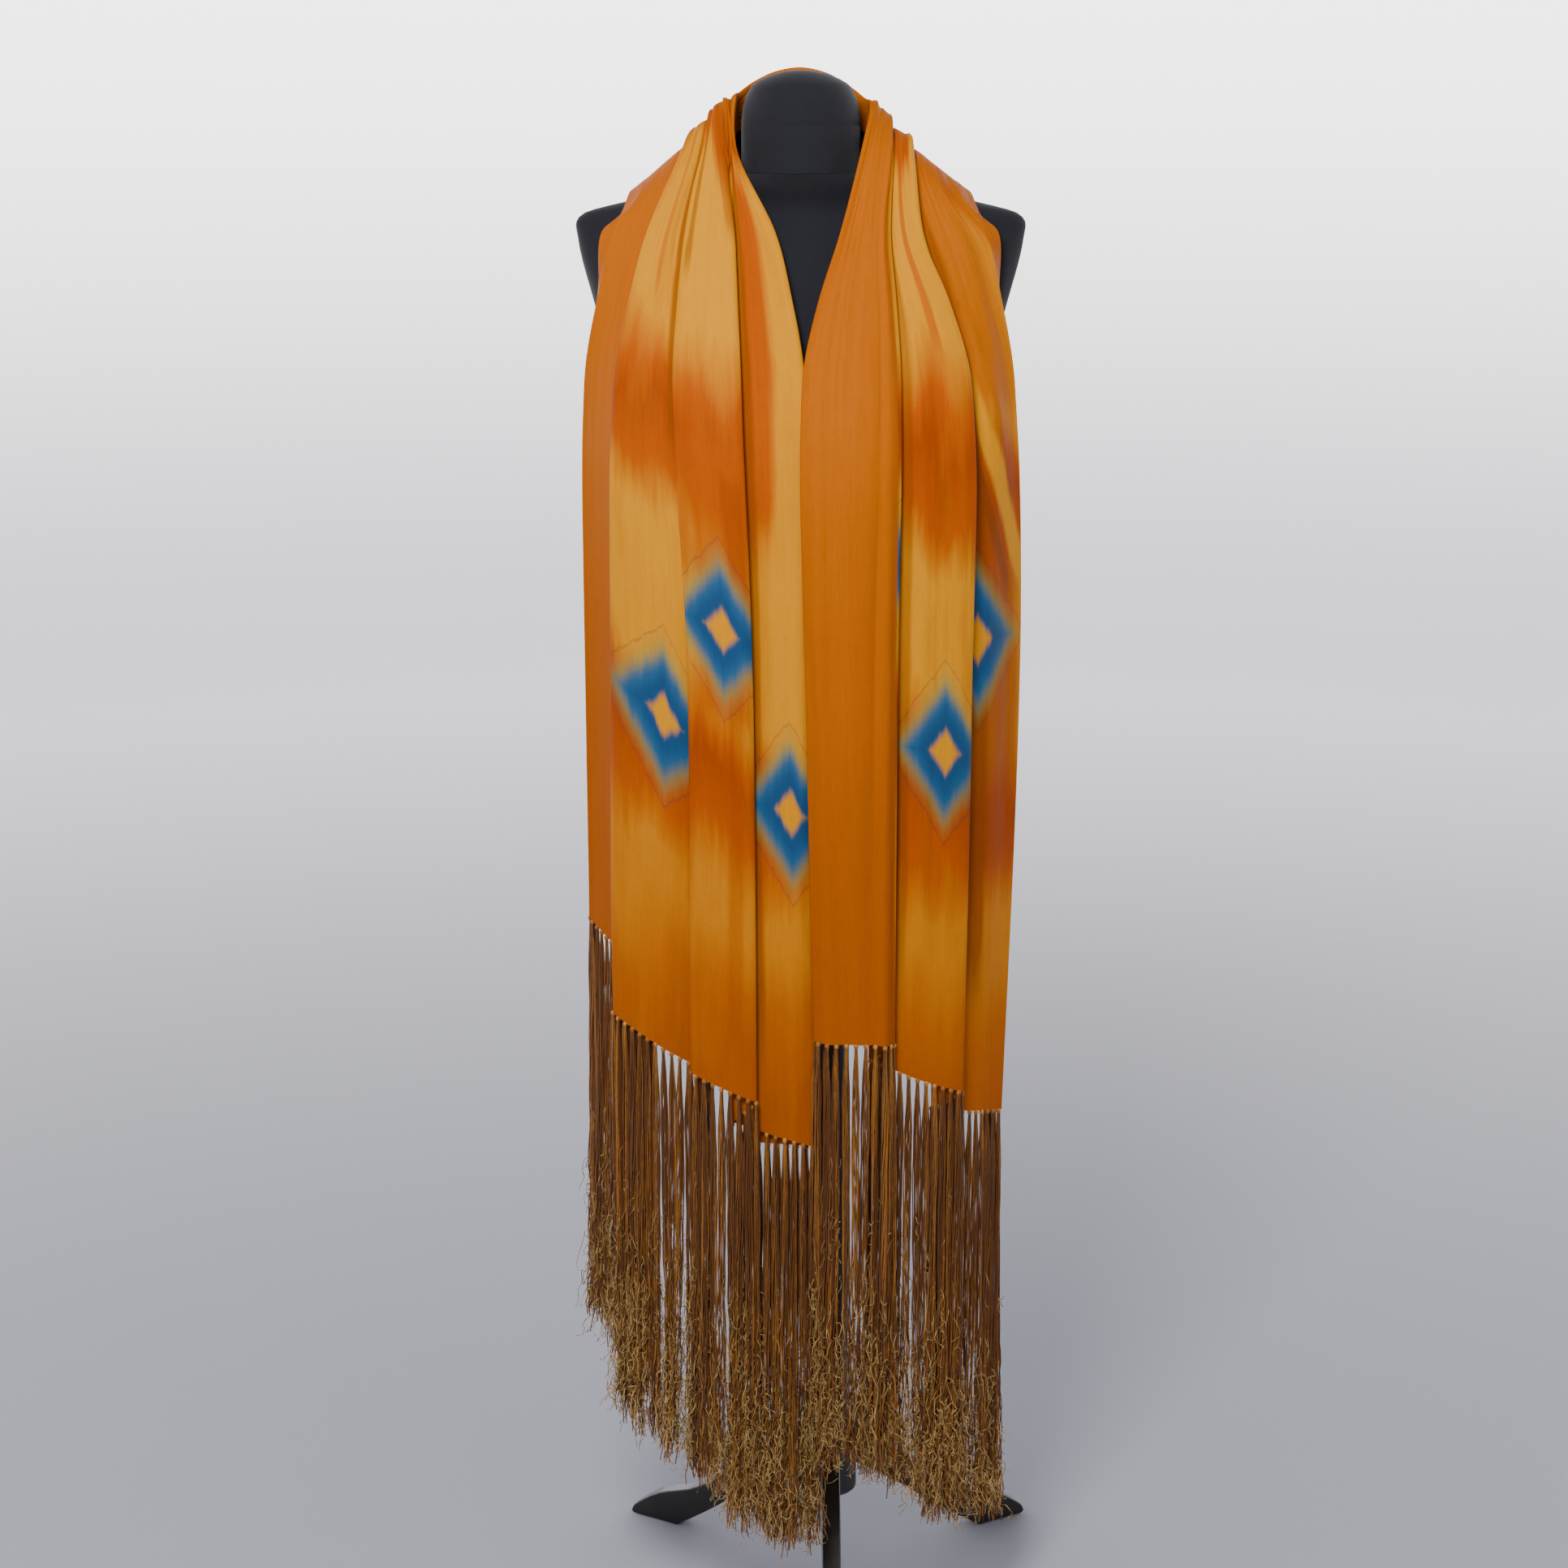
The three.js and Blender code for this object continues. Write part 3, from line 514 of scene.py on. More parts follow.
class Shader:
    """A material built of nodes, with one method for every node."""

    def __init__(self, name: str, roughness: float) -> None:
        """Starts a material with an empty Principled shader."""
        self.material = bpy.data.materials.new(name)
        self.material.use_nodes = True
        self.tree = self.material.node_tree
        self.surface = self.tree.nodes["Principled BSDF"]
        self.surface.inputs["Roughness"].default_value = roughness

    def node(self, kind: str, settings: dict | None = None, values=(), out: int | str = 0) -> Maths:
        """Adds a node.

        Args:
            kind: The node's type.
            settings: Its settings, set before its sockets.
            values: Numbers, colours or links for its sockets, in order or by name.
            out: Which output is meant.

        Returns:
            That output.
        """
        made = self.tree.nodes.new(kind)
        for key, value in (settings or {}).items():
            if key == "stops":
                self._set_stops(made.color_ramp, value)
            else:
                setattr(made, key, value)
        pairs = values.items() if isinstance(values, dict) else enumerate(values)
        for key, value in pairs:
            self._feed(made.inputs[key], value)
        return Maths(self, made.outputs[out])

    def _feed(self, socket: bpy.types.NodeSocket, value) -> None:
        """Links or sets one socket."""
        if isinstance(value, Maths):
            self.tree.links.new(value.socket, socket)
        else:
            socket.default_value = value

    @staticmethod
    def _set_stops(ramp: bpy.types.ColorRamp, stops) -> None:
        """Sets a colour ramp's stops, as place and colour."""
        while len(ramp.elements) < len(stops):
            ramp.elements.new(1.0)
        for element, (place, colour) in zip(ramp.elements, stops):
            element.position = place
            element.color = (*colour, 1.0)

    def set(self, **sockets) -> None:
        """Sets or links sockets of the surface, named with _ for a space."""
        for key, value in sockets.items():
            self._feed(self.surface.inputs[key.replace("_", " ")], value)

    def parts(self, vector: Maths) -> tuple[Maths, Maths, Maths]:
        """A vector's three numbers."""
        split = self.node("ShaderNodeSeparateXYZ", None, (vector,))
        return tuple(Maths(self, output) for output in split.socket.node.outputs[:3])

    def vector(self, x, y, z=0.0) -> Maths:
        """A vector of three numbers."""
        return self.node("ShaderNodeCombineXYZ", None, (x, y, z))

    def noise(self, vector: Maths, scale: float, detail: float = 2.0, roughness: float = 0.5) -> Maths:
        """Smooth noise from 0 to 1."""
        return self.node("ShaderNodeTexNoise", None,
                         {"Vector": vector, "Scale": scale, "Detail": detail, "Roughness": roughness})

    def blend(self, share, first, second) -> Maths:
        """One colour turning into another."""
        return self.node("ShaderNodeMix", {"data_type": "RGBA"}, {0: share, 6: first, 7: second}, 2)

    def bump(self, height: Maths, strength: float, distance: float) -> None:
        """Lets a height turn the surface's normal."""
        self.set(Normal=self.node("ShaderNodeBump", None,
                                  {"Strength": strength, "Distance": distance, "Height": height}))


def linear(red: int, green: int, blue: int) -> tuple[float, float, float]:
    """A colour as light, from its 8-bit screen values."""
    def one(value: float) -> float:
        """One channel."""
        share = value / 255
        return share / 12.92 if share <= 0.04045 else ((share + 0.055) / 1.055) ** 2.4
    return one(red), one(green), one(blue)


Colour = tuple[float, float, float]

# The silk's dyes, and a painted shade for the dark of fold edges and creases, as the share of each light
# that they send back
OCHRE: Colour = (0.40, 0.092, 0.0006)
OCHRE_DEEP: Colour = (0.33, 0.066, 0.0005)
PALE: Colour = (0.58, 0.228, 0.0020)
GOLDEN: Colour = (0.50, 0.160, 0.0020)
ORANGE: Colour = (0.38, 0.062, 0.0004)
# Rust dye, which the wide streak at 160 on the right also uses as painted shade
RUST_DYE_AND_SHADE: Colour = (0.29, 0.042, 0.0003)
# Painted shade, a dark umber for fold edges and creases, not a dye
PAINTED_SHADE: Colour = (0.20, 0.040, 0.0006)
BLUE: Colour = (0.006, 0.080, 0.190)
BLUE_DEEP: Colour = (0.004, 0.040, 0.120)
TEAL: Colour = (0.14, 0.200, 0.070)
DARK_BLUE_LINE: Colour = (0.008, 0.030, 0.055)

CLOTH_WIDTH = 500.0
BORDER = 95.0

# The bands of dye: place from the nearer hem in millimetres, and the dye there
BANDS = (
    (0, OCHRE_DEEP), (78, OCHRE), (138, GOLDEN), (176, GOLDEN), (228, ORANGE), (286, RUST_DYE_AND_SHADE),
    (306, ORANGE), (352, PALE), (480, PALE), (520, ORANGE), (566, RUST_DYE_AND_SHADE), (596, ORANGE),
    (648, PALE), (812, PALE), (852, ORANGE), (912, OCHRE), (960, PALE), (1000, ORANGE),
)
BANDS_REACH = 1000.0


@dataclass(frozen=True)
class Lozenge:
    """A dyed lozenge: places across the cloth and from the nearer hem, in millimetres."""

    across: float
    along: float
    half_width: float = 42.0
    half_height: float = 62.0


# A plain staggered repeat, turned over at the other end
LEFT_LOZENGES = (Lozenge(178, 300), Lozenge(282, 415), Lozenge(386, 300))
RIGHT_LOZENGES = (Lozenge(178, 430), Lozenge(282, 300), Lozenge(386, 430))
LOZENGE_EDGE, LOZENGE_EDGE_WIDTH = 1.3, 0.035


@dataclass(frozen=True)
class Streak:
    """A narrow run of colour, of dye for some and of painted shade along a fold for others: places across
    the cloth and from the nearer hem, and size, in millimetres.
    """

    across: float
    start: float
    end: float
    width: float
    slant: float
    colour: Colour
    strength: float
    on_right: bool


# The dark umber streaks and the wide rust one at 160 on the right are painted shade along fold edges and in
# creases; the rest are dye
STREAKS = (
    Streak(168, 590, 1060, 90, 0, OCHRE, 0.95, True), Streak(160, 200, 640, 40, 6, RUST_DYE_AND_SHADE, 0.8, True),
    Streak(247, 650, 1000, 9, 0, PALE, 0.95, True), Streak(232, 500, 960, 7, 0, PAINTED_SHADE, 0.7, True),
    Streak(163, 450, 770, 12, 92, PALE, 1.0, True), Streak(184, 450, 770, 7, 92, PAINTED_SHADE, 0.85, True),
    Streak(179, 60, 860, 15, 4, PAINTED_SHADE, 0.8, True), Streak(318, 20, 1000, 8, -8, PAINTED_SHADE, 0.55, True),
    Streak(388, 290, 720, 27, 0, PALE, 0.9, False),
    Streak(366, 520, 880, 17, 8, ORANGE, 1.0, False),
    Streak(356, 20, 1000, 7, -2, PAINTED_SHADE, 0.7, False),
    Streak(191, 520, 1010, 8, -4, PAINTED_SHADE, 0.75, False),
    Streak(203, 20, 600, 7, -6, PAINTED_SHADE, 0.65, False),
    Streak(166, 640, 960, 5, 4, ORANGE, 0.5, False),
    Streak(286, 320, 600, 30, 8, ORANGE, 0.75, False), Streak(290, 20, 420, 8, 6, RUST_DYE_AND_SHADE, 0.4, False),
    Streak(296, 380, 560, 12, -6, RUST_DYE_AND_SHADE, 0.7, False),
    Streak(262, 440, 640, 14, 10, ORANGE, 0.5, False),
    Streak(262, 700, 1010, 5, 12, PAINTED_SHADE, 0.6, False),
    Streak(300, 760, 1010, 6, -8, RUST_DYE_AND_SHADE, 0.6, False),
    Streak(322, 600, 1000, 6, 0, PAINTED_SHADE, 0.55, False),
    Streak(330, 720, 1010, 6, -14, PAINTED_SHADE, 0.6, True),
    Streak(286, 620, 1010, 7, 12, ORANGE, 0.75, True),
    Streak(452, 540, 960, 5, 10, PAINTED_SHADE, 0.35, True),
)


class Ply(Enum):
    """Which yarn a tuft of the fringe is spun of."""

    BROWN = "brown"
    GOLD = "gold"
    KNOT = "knot"


@dataclass(frozen=True)
class SilkFinish:
    """Dyed silk: plain borders, feathered bands of dye and blue lozenges, with a fine weave."""

    length: float
    roughness: float = 0.5
    sheen: float = 0.02

    def material(self) -> bpy.types.Material:
        """The silk's material, which reads the cloth's own map in metres."""
        shader = Shader("silk", self.roughness)
        cloth = shader.node("ShaderNodeUVMap", {"uv_map": "cloth"})
        across, along, _ = shader.parts(cloth)
        across, along = across * 1000, along * 1000
        near = along.smaller(self.length - along)
        streaks = shader.noise(shader.vector(across * 0.035, along * 0.0035), 1.0, 3.0, 0.55) - 0.5
        drift = shader.noise(shader.vector(across * 0.011, along * 0.004), 1.0, 1.0) - 0.5
        feather = shader.noise(shader.vector(across * 0.14, along * 0.010), 1.0, 3.0, 0.6) - 0.5
        right = (along - self.length / 2).clamped(-60.0, 60.0)
        slant = (1 - right) * (across - 200) * -0.16 + right * (18 + (across - 250) * -0.10)
        band = near + slant + streaks * 110 + drift * 150 + feather * 42
        dye = self._bands(shader, band, streaks, feather)
        dye = self._streaks(shader, dye, across, near, right, feather)
        dye = self._lozenges(shader, dye, across, along, feather, streaks)
        plain = self._plain(shader, across, near)
        edge = (across - BORDER + feather * 2).clamped(-1.5, 1.5)
        edge = edge * (CLOTH_WIDTH - BORDER - across + feather * 2).clamped(-1.5, 1.5)
        seam = ((across - BORDER).size().smaller((across - CLOTH_WIDTH + BORDER).size()) / 1.1).clamped()
        colour = shader.blend(edge, plain, dye)
        colour = shader.blend((1 - seam) * 0.3, colour, (*RUST_DYE_AND_SHADE, 1))
        thread = shader.noise(shader.vector(across * 1.4, along * 0.05), 1.0, 1.0) - 0.5
        weft = shader.noise(shader.vector(across * 0.05, along * 1.4), 1.0, 1.0) - 0.5
        slub = shader.noise(shader.vector(across * 0.4, along * 0.008), 1.0, 1.0) - 0.5
        colour = shader.node("ShaderNodeHueSaturation", None,
                             {"Value": 1 + thread * 0.2 + weft * 0.16 + slub * 0.14, "Color": colour})
        crumple = shader.noise(shader.vector(across * 0.03, along * 0.011), 1.0, 2.0, 0.55)
        ripple = shader.noise(shader.vector(across * 0.085, along * 0.0028), 1.0, 1.0)
        shader.bump(crumple * 2.6 + ripple * 1.9 + thread * 0.14 + weft * 0.14, 0.75, 0.0012)
        shader.set(Base_Color=colour, Roughness=0.6 + thread * 0.12 + (crumple - 0.5) * 0.12,
                   Sheen_Weight=self.sheen, Sheen_Roughness=0.4, Specular_IOR_Level=0.09,
                   Specular_Tint=(1.0, 0.62, 0.22, 1.0), Sheen_Tint=(1.0, 0.55, 0.16, 1.0))
        return shader.material

    @staticmethod
    def _bands(shader: Shader, band: Maths, streaks: Maths, feather: Maths) -> Maths:
        """The bands of dye across the cloth, from each hem to the neck, strong here and weak there."""
        stops = [(place / BANDS_REACH, dye) for place, dye in BANDS]
        ramp = shader.node("ShaderNodeValToRGB", {"stops": stops}, (band / BANDS_REACH,))
        wash = (streaks * 1.6 + feather * 1.1 + 0.42).clamped(0.3, 1.1)
        return shader.blend(wash * 0.6, ramp, (*OCHRE, 1))

    @staticmethod
    def _plain(shader: Shader, across: Maths, near: Maths) -> Maths:
        """The plain border, a little deeper in tone towards the hem."""
        cloud = shader.noise(shader.vector(across * 0.01, near * 0.004), 1.0, 1.0)
        depth = (1 - near / 620).clamped() * 0.75 + (cloud - 0.5) * 0.5
        return shader.blend(depth.clamped(), (*OCHRE, 1), (*OCHRE_DEEP, 1))

    @staticmethod
    def _streaks(shader: Shader, dye: Maths, across: Maths, near: Maths, right: Maths,
                 feather: Maths) -> Maths:
        """Narrow streaks along the warp where the dye ran thin, and dark streaks of painted shade along
        fold edges and in creases.
        """
        for streak in STREAKS:
            up = (near - streak.start) / (streak.end - streak.start)
            middle = streak.across + streak.slant * (up - 0.5)
            body = (1 - (across - middle + feather * 6).size() / streak.width).clamped(0.0, 0.6)
            ends = (0.5 - (up - 0.5).size() + feather * 0.1).clamped(0.0, 0.12)
            side = right if streak.on_right else 1 - right
            # Blends each streak in: painted shade for the dark ones along folds, dye for the rest
            dye = shader.blend(body * ends * side * streak.strength, dye, (*streak.colour, 1))
        return dye

    def _lozenges(self, shader: Shader, dye: Maths, across: Maths, along: Maths, feather: Maths,
                  streaks: Maths) -> Maths:
        """Blue lozenges that bleed along the warp, each with a golden heart and a thin dark edge."""
        right = tuple(Lozenge(spot.across, self.length - spot.along) for spot in RIGHT_LOZENGES)
        for spot in LEFT_LOZENGES + right:
            x = (across - spot.across).size() / spot.half_width
            y = (along - spot.along).size() / spot.half_height
            reach = x + y + feather * 0.22 + streaks * 0.2
            body = 1 - reach
            dye = shader.blend(body.clamped(-0.34, 0.16) * 0.7, dye, (*TEAL, 1))
            dye = shader.blend(body.clamped(-0.06, 0.30) * 0.95, dye, (*BLUE, 1))
            dye = shader.blend(body.clamped(0.22, 0.52) * 0.6, dye, (*BLUE_DEEP, 1))
            dye = shader.blend(body.clamped(0.60, 0.80), dye, (*PALE, 1))
            edge = (1 - (reach - LOZENGE_EDGE).size() / LOZENGE_EDGE_WIDTH).clamped()
            dye = shader.blend(edge * 0.35, dye, (*DARK_BLUE_LINE, 1))
        return dye


@dataclass(frozen=True)
class YarnFinish:
    """Knotted rayon yarn, brown at the knots and lighter gold where it frays."""

    name: str
    ply: Ply
    roughness: float = 0.55

    def material(self) -> bpy.types.Material:
        """The yarn's material, which reads the object's own place in metres."""
        shader = Shader(self.name, self.roughness)
        place = shader.node("ShaderNodeTexCoord", None, (), "Object")
        x, y, z = shader.parts(place)
        hank = shader.noise(shader.vector(x * 260, y * 260, z * 3), 1.0, 1.0)
        twist = shader.noise(shader.vector(x * 900, y * 900, z * 160), 1.0, 2.0)
        dark, light = (0.105, 0.032, 0.003), (0.32, 0.120, 0.012)
        if self.ply is Ply.GOLD:
            dark, light = (0.22, 0.120, 0.028), (0.58, 0.370, 0.120)
        elif self.ply is Ply.KNOT:
            dark, light = (0.26, 0.090, 0.010), (0.52, 0.230, 0.040)
        low = (1 - z / 0.5).clamped() * 0.25
        colour = shader.blend(((hank - 0.42) * 3 + (twist - 0.5) * 1.2 + low).clamped(),
                              (*dark, 1), (*light, 1))
        shader.set(Base_Color=colour, Roughness=0.5 + (twist - 0.5) * 0.3, Sheen_Weight=0.05,
                   Specular_IOR_Level=0.25)
        return shader.material


@dataclass(frozen=True)
class JerseyFinish:
    """The form's matte black jersey, with fine knitted ribs and a little lint."""

    roughness: float = 0.92

    def material(self) -> bpy.types.Material:
        """The jersey's material."""
        shader = Shader("jersey", self.roughness)
        place = shader.node("ShaderNodeTexCoord", None, (), "Object")
        x, y, z = shader.parts(place)
        knit = shader.noise(shader.vector(x * 1500, y * 1500, z * 420), 1.0, 2.0)
        pull = shader.noise(shader.vector(x * 9, y * 9, z * 3), 1.0, 3.0)
        lint = (shader.noise(place, 900.0, 3.0, 0.7) - 0.70).clamped(0.0, 0.05)
        colour = shader.blend(pull, (*linear(18, 18, 23), 1), (*linear(31, 31, 38), 1))
        colour = shader.blend(lint * 0.12 + (knit - 0.5) * 0.1, colour, (*linear(88, 88, 96), 1))
        shader.bump(knit * 0.4 + pull * 1.2, 0.35, 0.0008)
        shader.set(Base_Color=colour, Roughness=0.88 + (knit - 0.5) * 0.1, Sheen_Weight=0.1,
                   Specular_IOR_Level=0.18)
        return shader.material


@dataclass(frozen=True)
class PaintFinish:
    """Satin black paint over wood, with the grain just showing and edges a little rubbed."""

    roughness: float = 0.38

    def material(self) -> bpy.types.Material:
        """The paint's material."""
        shader = Shader("paint", self.roughness)
        place = shader.node("ShaderNodeTexCoord", None, (), "Object")
        x, y, z = shader.parts(place)
        grain = shader.noise(shader.vector(x * 60, y * 60, z * 220), 1.0, 4.0, 0.6)
        wear = shader.noise(place, 34.0, 4.0, 0.65)
        colour = shader.blend((wear - 0.35).clamped(0.0, 0.6), (*linear(20, 17, 16), 1),
                              (*linear(38, 32, 29), 1))
        shader.bump(grain, 0.25, 0.0006)
        shader.set(Base_Color=colour, Roughness=0.3 + wear * 0.22, Coat_Weight=0.15)
        return shader.material


def deselect() -> None:
    """Leaves nothing selected, in object mode."""
    if bpy.context.object and bpy.context.object.mode != "OBJECT":
        bpy.ops.object.mode_set(mode="OBJECT")
    bpy.ops.object.select_all(action="DESELECT")


def hand_over(piece: bpy.types.Object, name: str, slot: str, material: bpy.types.Material,
              *nodes: str) -> bpy.types.Object:
    """Names, dresses and seats a finished piece.

    Args:
        piece: The piece, in place in the frame.
        name: Its name.
        slot: The record's material slot; not used.
        material: Its material.
        *nodes: The nodes that it stands for.

    Returns:
        The piece.
    """
    deselect()
    piece.select_set(True)
    bpy.context.view_layer.objects.active = piece
    bpy.ops.object.transform_apply(location=True, rotation=True, scale=True)
    piece.name = name
    piece.data.name = name
    piece.data.materials.clear()
    piece.data.materials.append(material)
    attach(piece, "root")
    if nodes:
        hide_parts(*nodes)
    log.info("%s: %d faces", name, len(piece.data.polygons))
    return piece


def grid_of(points: np.ndarray, close: bool = False) -> bpy.types.Object:
    """A primitive grid with its vertices set to places.

    Args:
        points: Rows of columns of places in the frame.
        close: Whether the last column meets the first one.

    Returns:
        The grid.
    """
    rows, columns = points.shape[:2]
    deselect()
    bpy.ops.mesh.primitive_grid_add(x_subdivisions=columns - 1, y_subdivisions=rows - 1, size=1)
    piece = bpy.context.object
    piece.data.vertices.foreach_set("co", points.reshape(-1))
    piece.data.update()
    if close:
        bpy.ops.object.mode_set(mode="EDIT")
        bpy.ops.mesh.select_all(action="SELECT")
        bpy.ops.mesh.remove_doubles(threshold=1e-5)
        bpy.ops.object.mode_set(mode="OBJECT")
    return piece


def apply_modifier(piece: bpy.types.Object, kind: str, **settings) -> None:
    """Adds a modifier with its settings and applies it."""
    deselect()
    piece.select_set(True)
    bpy.context.view_layer.objects.active = piece
    modifier = piece.modifiers.new(kind.title(), kind)
    for key, value in settings.items():
        setattr(modifier, key, value)
    bpy.ops.object.modifier_apply(modifier=modifier.name)


def smooth(piece: bpy.types.Object, degrees: float = 180.0) -> None:
    """Shades a piece smooth up to an angle."""
    deselect()
    piece.select_set(True)
    bpy.context.view_layer.objects.active = piece
    bpy.ops.object.shade_smooth_by_angle(angle=math.radians(degrees))


@dataclass
class Shawl:
    """The silk itself, one straight length of cloth in pleats."""

    drape: Drape
    thickness: float = 0.7

    def build(self) -> bpy.types.Object:
        """Builds the cloth as one sheet in place of its three stretches."""
        points = in_frame(self.drape.points)
        sheet = grid_of(points)
        cloth = sheet.data.uv_layers.new(name="cloth")
        corners = np.zeros(len(sheet.data.loops), int)
        sheet.data.loops.foreach_get("vertex_index", corners)
        flat = np.dstack([self.drape.across, self.drape.along]).reshape(-1, 2) * MM
        cloth.data.foreach_set("uv", flat[corners].reshape(-1))
        apply_modifier(sheet, "SOLIDIFY", thickness=self.thickness * MM, offset=0.0)
        smooth(sheet, 60)
        return hand_over(sheet, "silk_shawl", "silk", SilkFinish(self.drape.length).material(),
                         "shawl_left_front", "shawl_back", "shawl_right_front")


KNOT_SIZE = (2.2, 1.9, 2.6)
KNOT_DROP = 1.6
FRAY_REACH = 13
FRIZZ_SHARE = 0.56


@dataclass
class Fringe:
    """The knotted fringe of one end, hanks of loose yarn that fray and curl at their ends."""

    side: str
    hem: np.ndarray
    seed: int
    pitch: float = 8.6
    length: float = 388.0
    yarns: int = 11
    yarn_radius: float = 0.7
    steps: int = 34
    frizz: int = 42
    frizz_steps: int = 9

    def build(self) -> list[bpy.types.Object]:
        """Builds the knots, the yarns and the frizz, in place of the plain fringe."""
        rng = np.random.default_rng(self.seed)
        roots, ways = self._roots()
        brown = YarnFinish(f"yarn_brown_{self.side}", Ply.BROWN).material()
        gold = YarnFinish(f"yarn_gold_{self.side}", Ply.GOLD).material()
        hanks = self._yarn_lines(roots, ways, rng)
        piece = self._tubes(hanks, self.yarn_radius)
        hand_over(piece, f"fringe_yarn_{self.side}", "yarn", brown, f"fringe_{self.side}")
        curls = self._tubes(self._frizz_lines(roots, rng), self.yarn_radius * FRIZZ_SHARE)
        hand_over(curls, f"fringe_frizz_{self.side}", "yarn", gold)
        knots = self._knots(roots)
        tied = YarnFinish(f"yarn_knot_{self.side}", Ply.KNOT).material()
        hand_over(knots, f"fringe_knots_{self.side}", "yarn", tied)
        return [piece, curls, knots]

    def _roots(self) -> tuple[np.ndarray, np.ndarray]:
        """The hanks' places along the hem, with the hem's direction there."""
        lengths = np.concatenate([[0], np.cumsum(np.linalg.norm(np.diff(self.hem, axis=0), axis=1))])
        count = int(lengths[-1] / self.pitch)
        reach = (np.arange(count) + 0.5) / count * lengths[-1]
        roots = np.column_stack([np.interp(reach, lengths, self.hem[:, k]) for k in range(3)])
        ahead = np.column_stack([np.interp(reach + 3, lengths, self.hem[:, k]) for k in range(3)])
        ways = ahead - roots
        ways[:, 2] = 0
        return roots, ways / np.maximum(np.linalg.norm(ways, axis=1, keepdims=True), 1e-6)

    def _yarn_lines(self, roots: np.ndarray, ways: np.ndarray, rng: np.random.Generator) -> np.ndarray:
        """Every yarn's route down from its knot."""
        lines = []
        down = np.linspace(0, 1, self.steps) ** 0.85
        loose = np.clip((down - 0.42) / 0.58, 0, 1)
        for root, way in zip(roots, ways):
            sway = rng.normal(0, 1.6, 2)
            turn = rng.uniform(0, 2 * math.pi)
            twist = rng.uniform(2.5, 5.0)
            long_hank = self.length * (1 + rng.normal(0, 0.012))
            for k in range(self.yarns):
                angle = turn + 2 * math.pi * k / self.yarns + twist * down
                reach = rng.uniform(0.5, 1.0) * (0.9 + 2.8 * np.minimum(down * 9, 1) + 2.7 * loose ** 1.5)
                phase = rng.uniform(0, 2 * math.pi, 4)
                wave = rng.uniform(26, 58)
                curl = rng.uniform(0.5, 2.6) * loose ** 1.2 + 0.25
                beside = reach * np.cos(angle) + curl * np.sin(down * wave + phase[0])
                deep = 0.7 * reach * np.sin(angle) + curl * np.sin(down * wave * 0.83 + phase[1])
                long = long_hank * (1 + rng.normal(0, 0.022))
                x = beside * way[0] + deep * way[1] + sway[0] * down ** 2 * 2.2
                y = beside * way[1] - deep * way[0] + sway[1] * down ** 2 * 2.0
                z = -2.0 - long * down + curl * 0.8 * np.sin(down * wave * 1.3 + phase[2])
                lines.append(root + np.column_stack([x, y, z]))
        return np.array(lines)

    def _frizz_lines(self, roots: np.ndarray, rng: np.random.Generator) -> np.ndarray:
        """Short frayed fibres that curl about the lower third, a few of them standing off."""
        lines = []
        t = np.linspace(0, 1, self.frizz_steps)
        for root in roots:
            clump = rng.uniform(0.6, 1.4)
            for _ in range(int(self.frizz * clump)):
                start = rng.beta(4.6, 1.15)
                size = rng.uniform(14, 44)
                turn = rng.uniform(0, 2 * math.pi, 3)
                loops = rng.uniform(5, 14)
                radius = rng.uniform(0.9, 5.0) * (0.35 + 0.65 * start)
                spread = 1.6 + 4.8 * start ** 3
                middle = root + np.array([rng.normal(0, spread), rng.normal(0, spread),
                                          -start * (self.length - 12)])
                lean = rng.normal(0, 1, 3) * np.array([9, 7, 8]) * start ** 2
                x = radius * np.sin(loops * t + turn[0]) + lean[0] * t
                y = radius * np.cos(loops * t + turn[1]) + lean[1] * t
                z = -size * t + lean[2] * t ** 2 + radius * np.sin(loops * 1.3 * t + turn[2])
                line = middle + np.column_stack([x, y, z])
                ragged = 6 * np.sin(turn[0] + 5 * t)
                line[:, 2] = np.maximum(line[:, 2], root[2] - self.length - FRAY_REACH + ragged)
                lines.append(line)
        return np.array(lines)

    @staticmethod
    def _tubes(lines: np.ndarray, radius: float) -> bpy.types.Object:
        """Thin yarns along routes, as a curve with a round section turned into a mesh."""
        curve = bpy.data.curves.new("yarn", "CURVE")
        curve.dimensions = "3D"
        curve.bevel_depth = radius * MM
        curve.bevel_resolution = 0
        curve.use_fill_caps = True
        for line in in_frame(lines):
            spline = curve.splines.new("POLY")
            spline.points.add(len(line) - 1)
            spline.points.foreach_set("co", np.column_stack([line, np.ones(len(line))]).reshape(-1))
            spline.points.foreach_set("radius", np.linspace(1.0, 0.72, len(line)))
        piece = bpy.data.objects.new("yarn", curve)
        bpy.context.scene.collection.objects.link(piece)
        deselect()
        piece.select_set(True)
        bpy.context.view_layer.objects.active = piece
        bpy.ops.object.convert(target="MESH")
        return bpy.context.object

    def _knots(self, roots: np.ndarray) -> bpy.types.Object:
        """A small round knot at the head of every hank."""
        deselect()
        bpy.ops.mesh.primitive_uv_sphere_add(segments=8, ring_count=6, radius=1.0)
        pattern = bpy.context.object
        pattern.scale = tuple(size * MM for size in KNOT_SIZE)
        bpy.ops.object.transform_apply(location=False, rotation=False, scale=True)
        copies = []
        for place in in_frame(roots - np.array([0, 0, KNOT_DROP])):
            copy = pattern.copy()
            copy.data = pattern.data.copy()
            copy.location = place
            bpy.context.scene.collection.objects.link(copy)
            copies.append(copy)
        bpy.data.objects.remove(pattern)
        deselect()
        for copy in copies:
            copy.select_set(True)
        bpy.context.view_layer.objects.active = copies[0]
        bpy.ops.object.transform_apply(location=True, rotation=True, scale=True)
        bpy.ops.object.join()
        smooth(bpy.context.object)
        return bpy.context.object


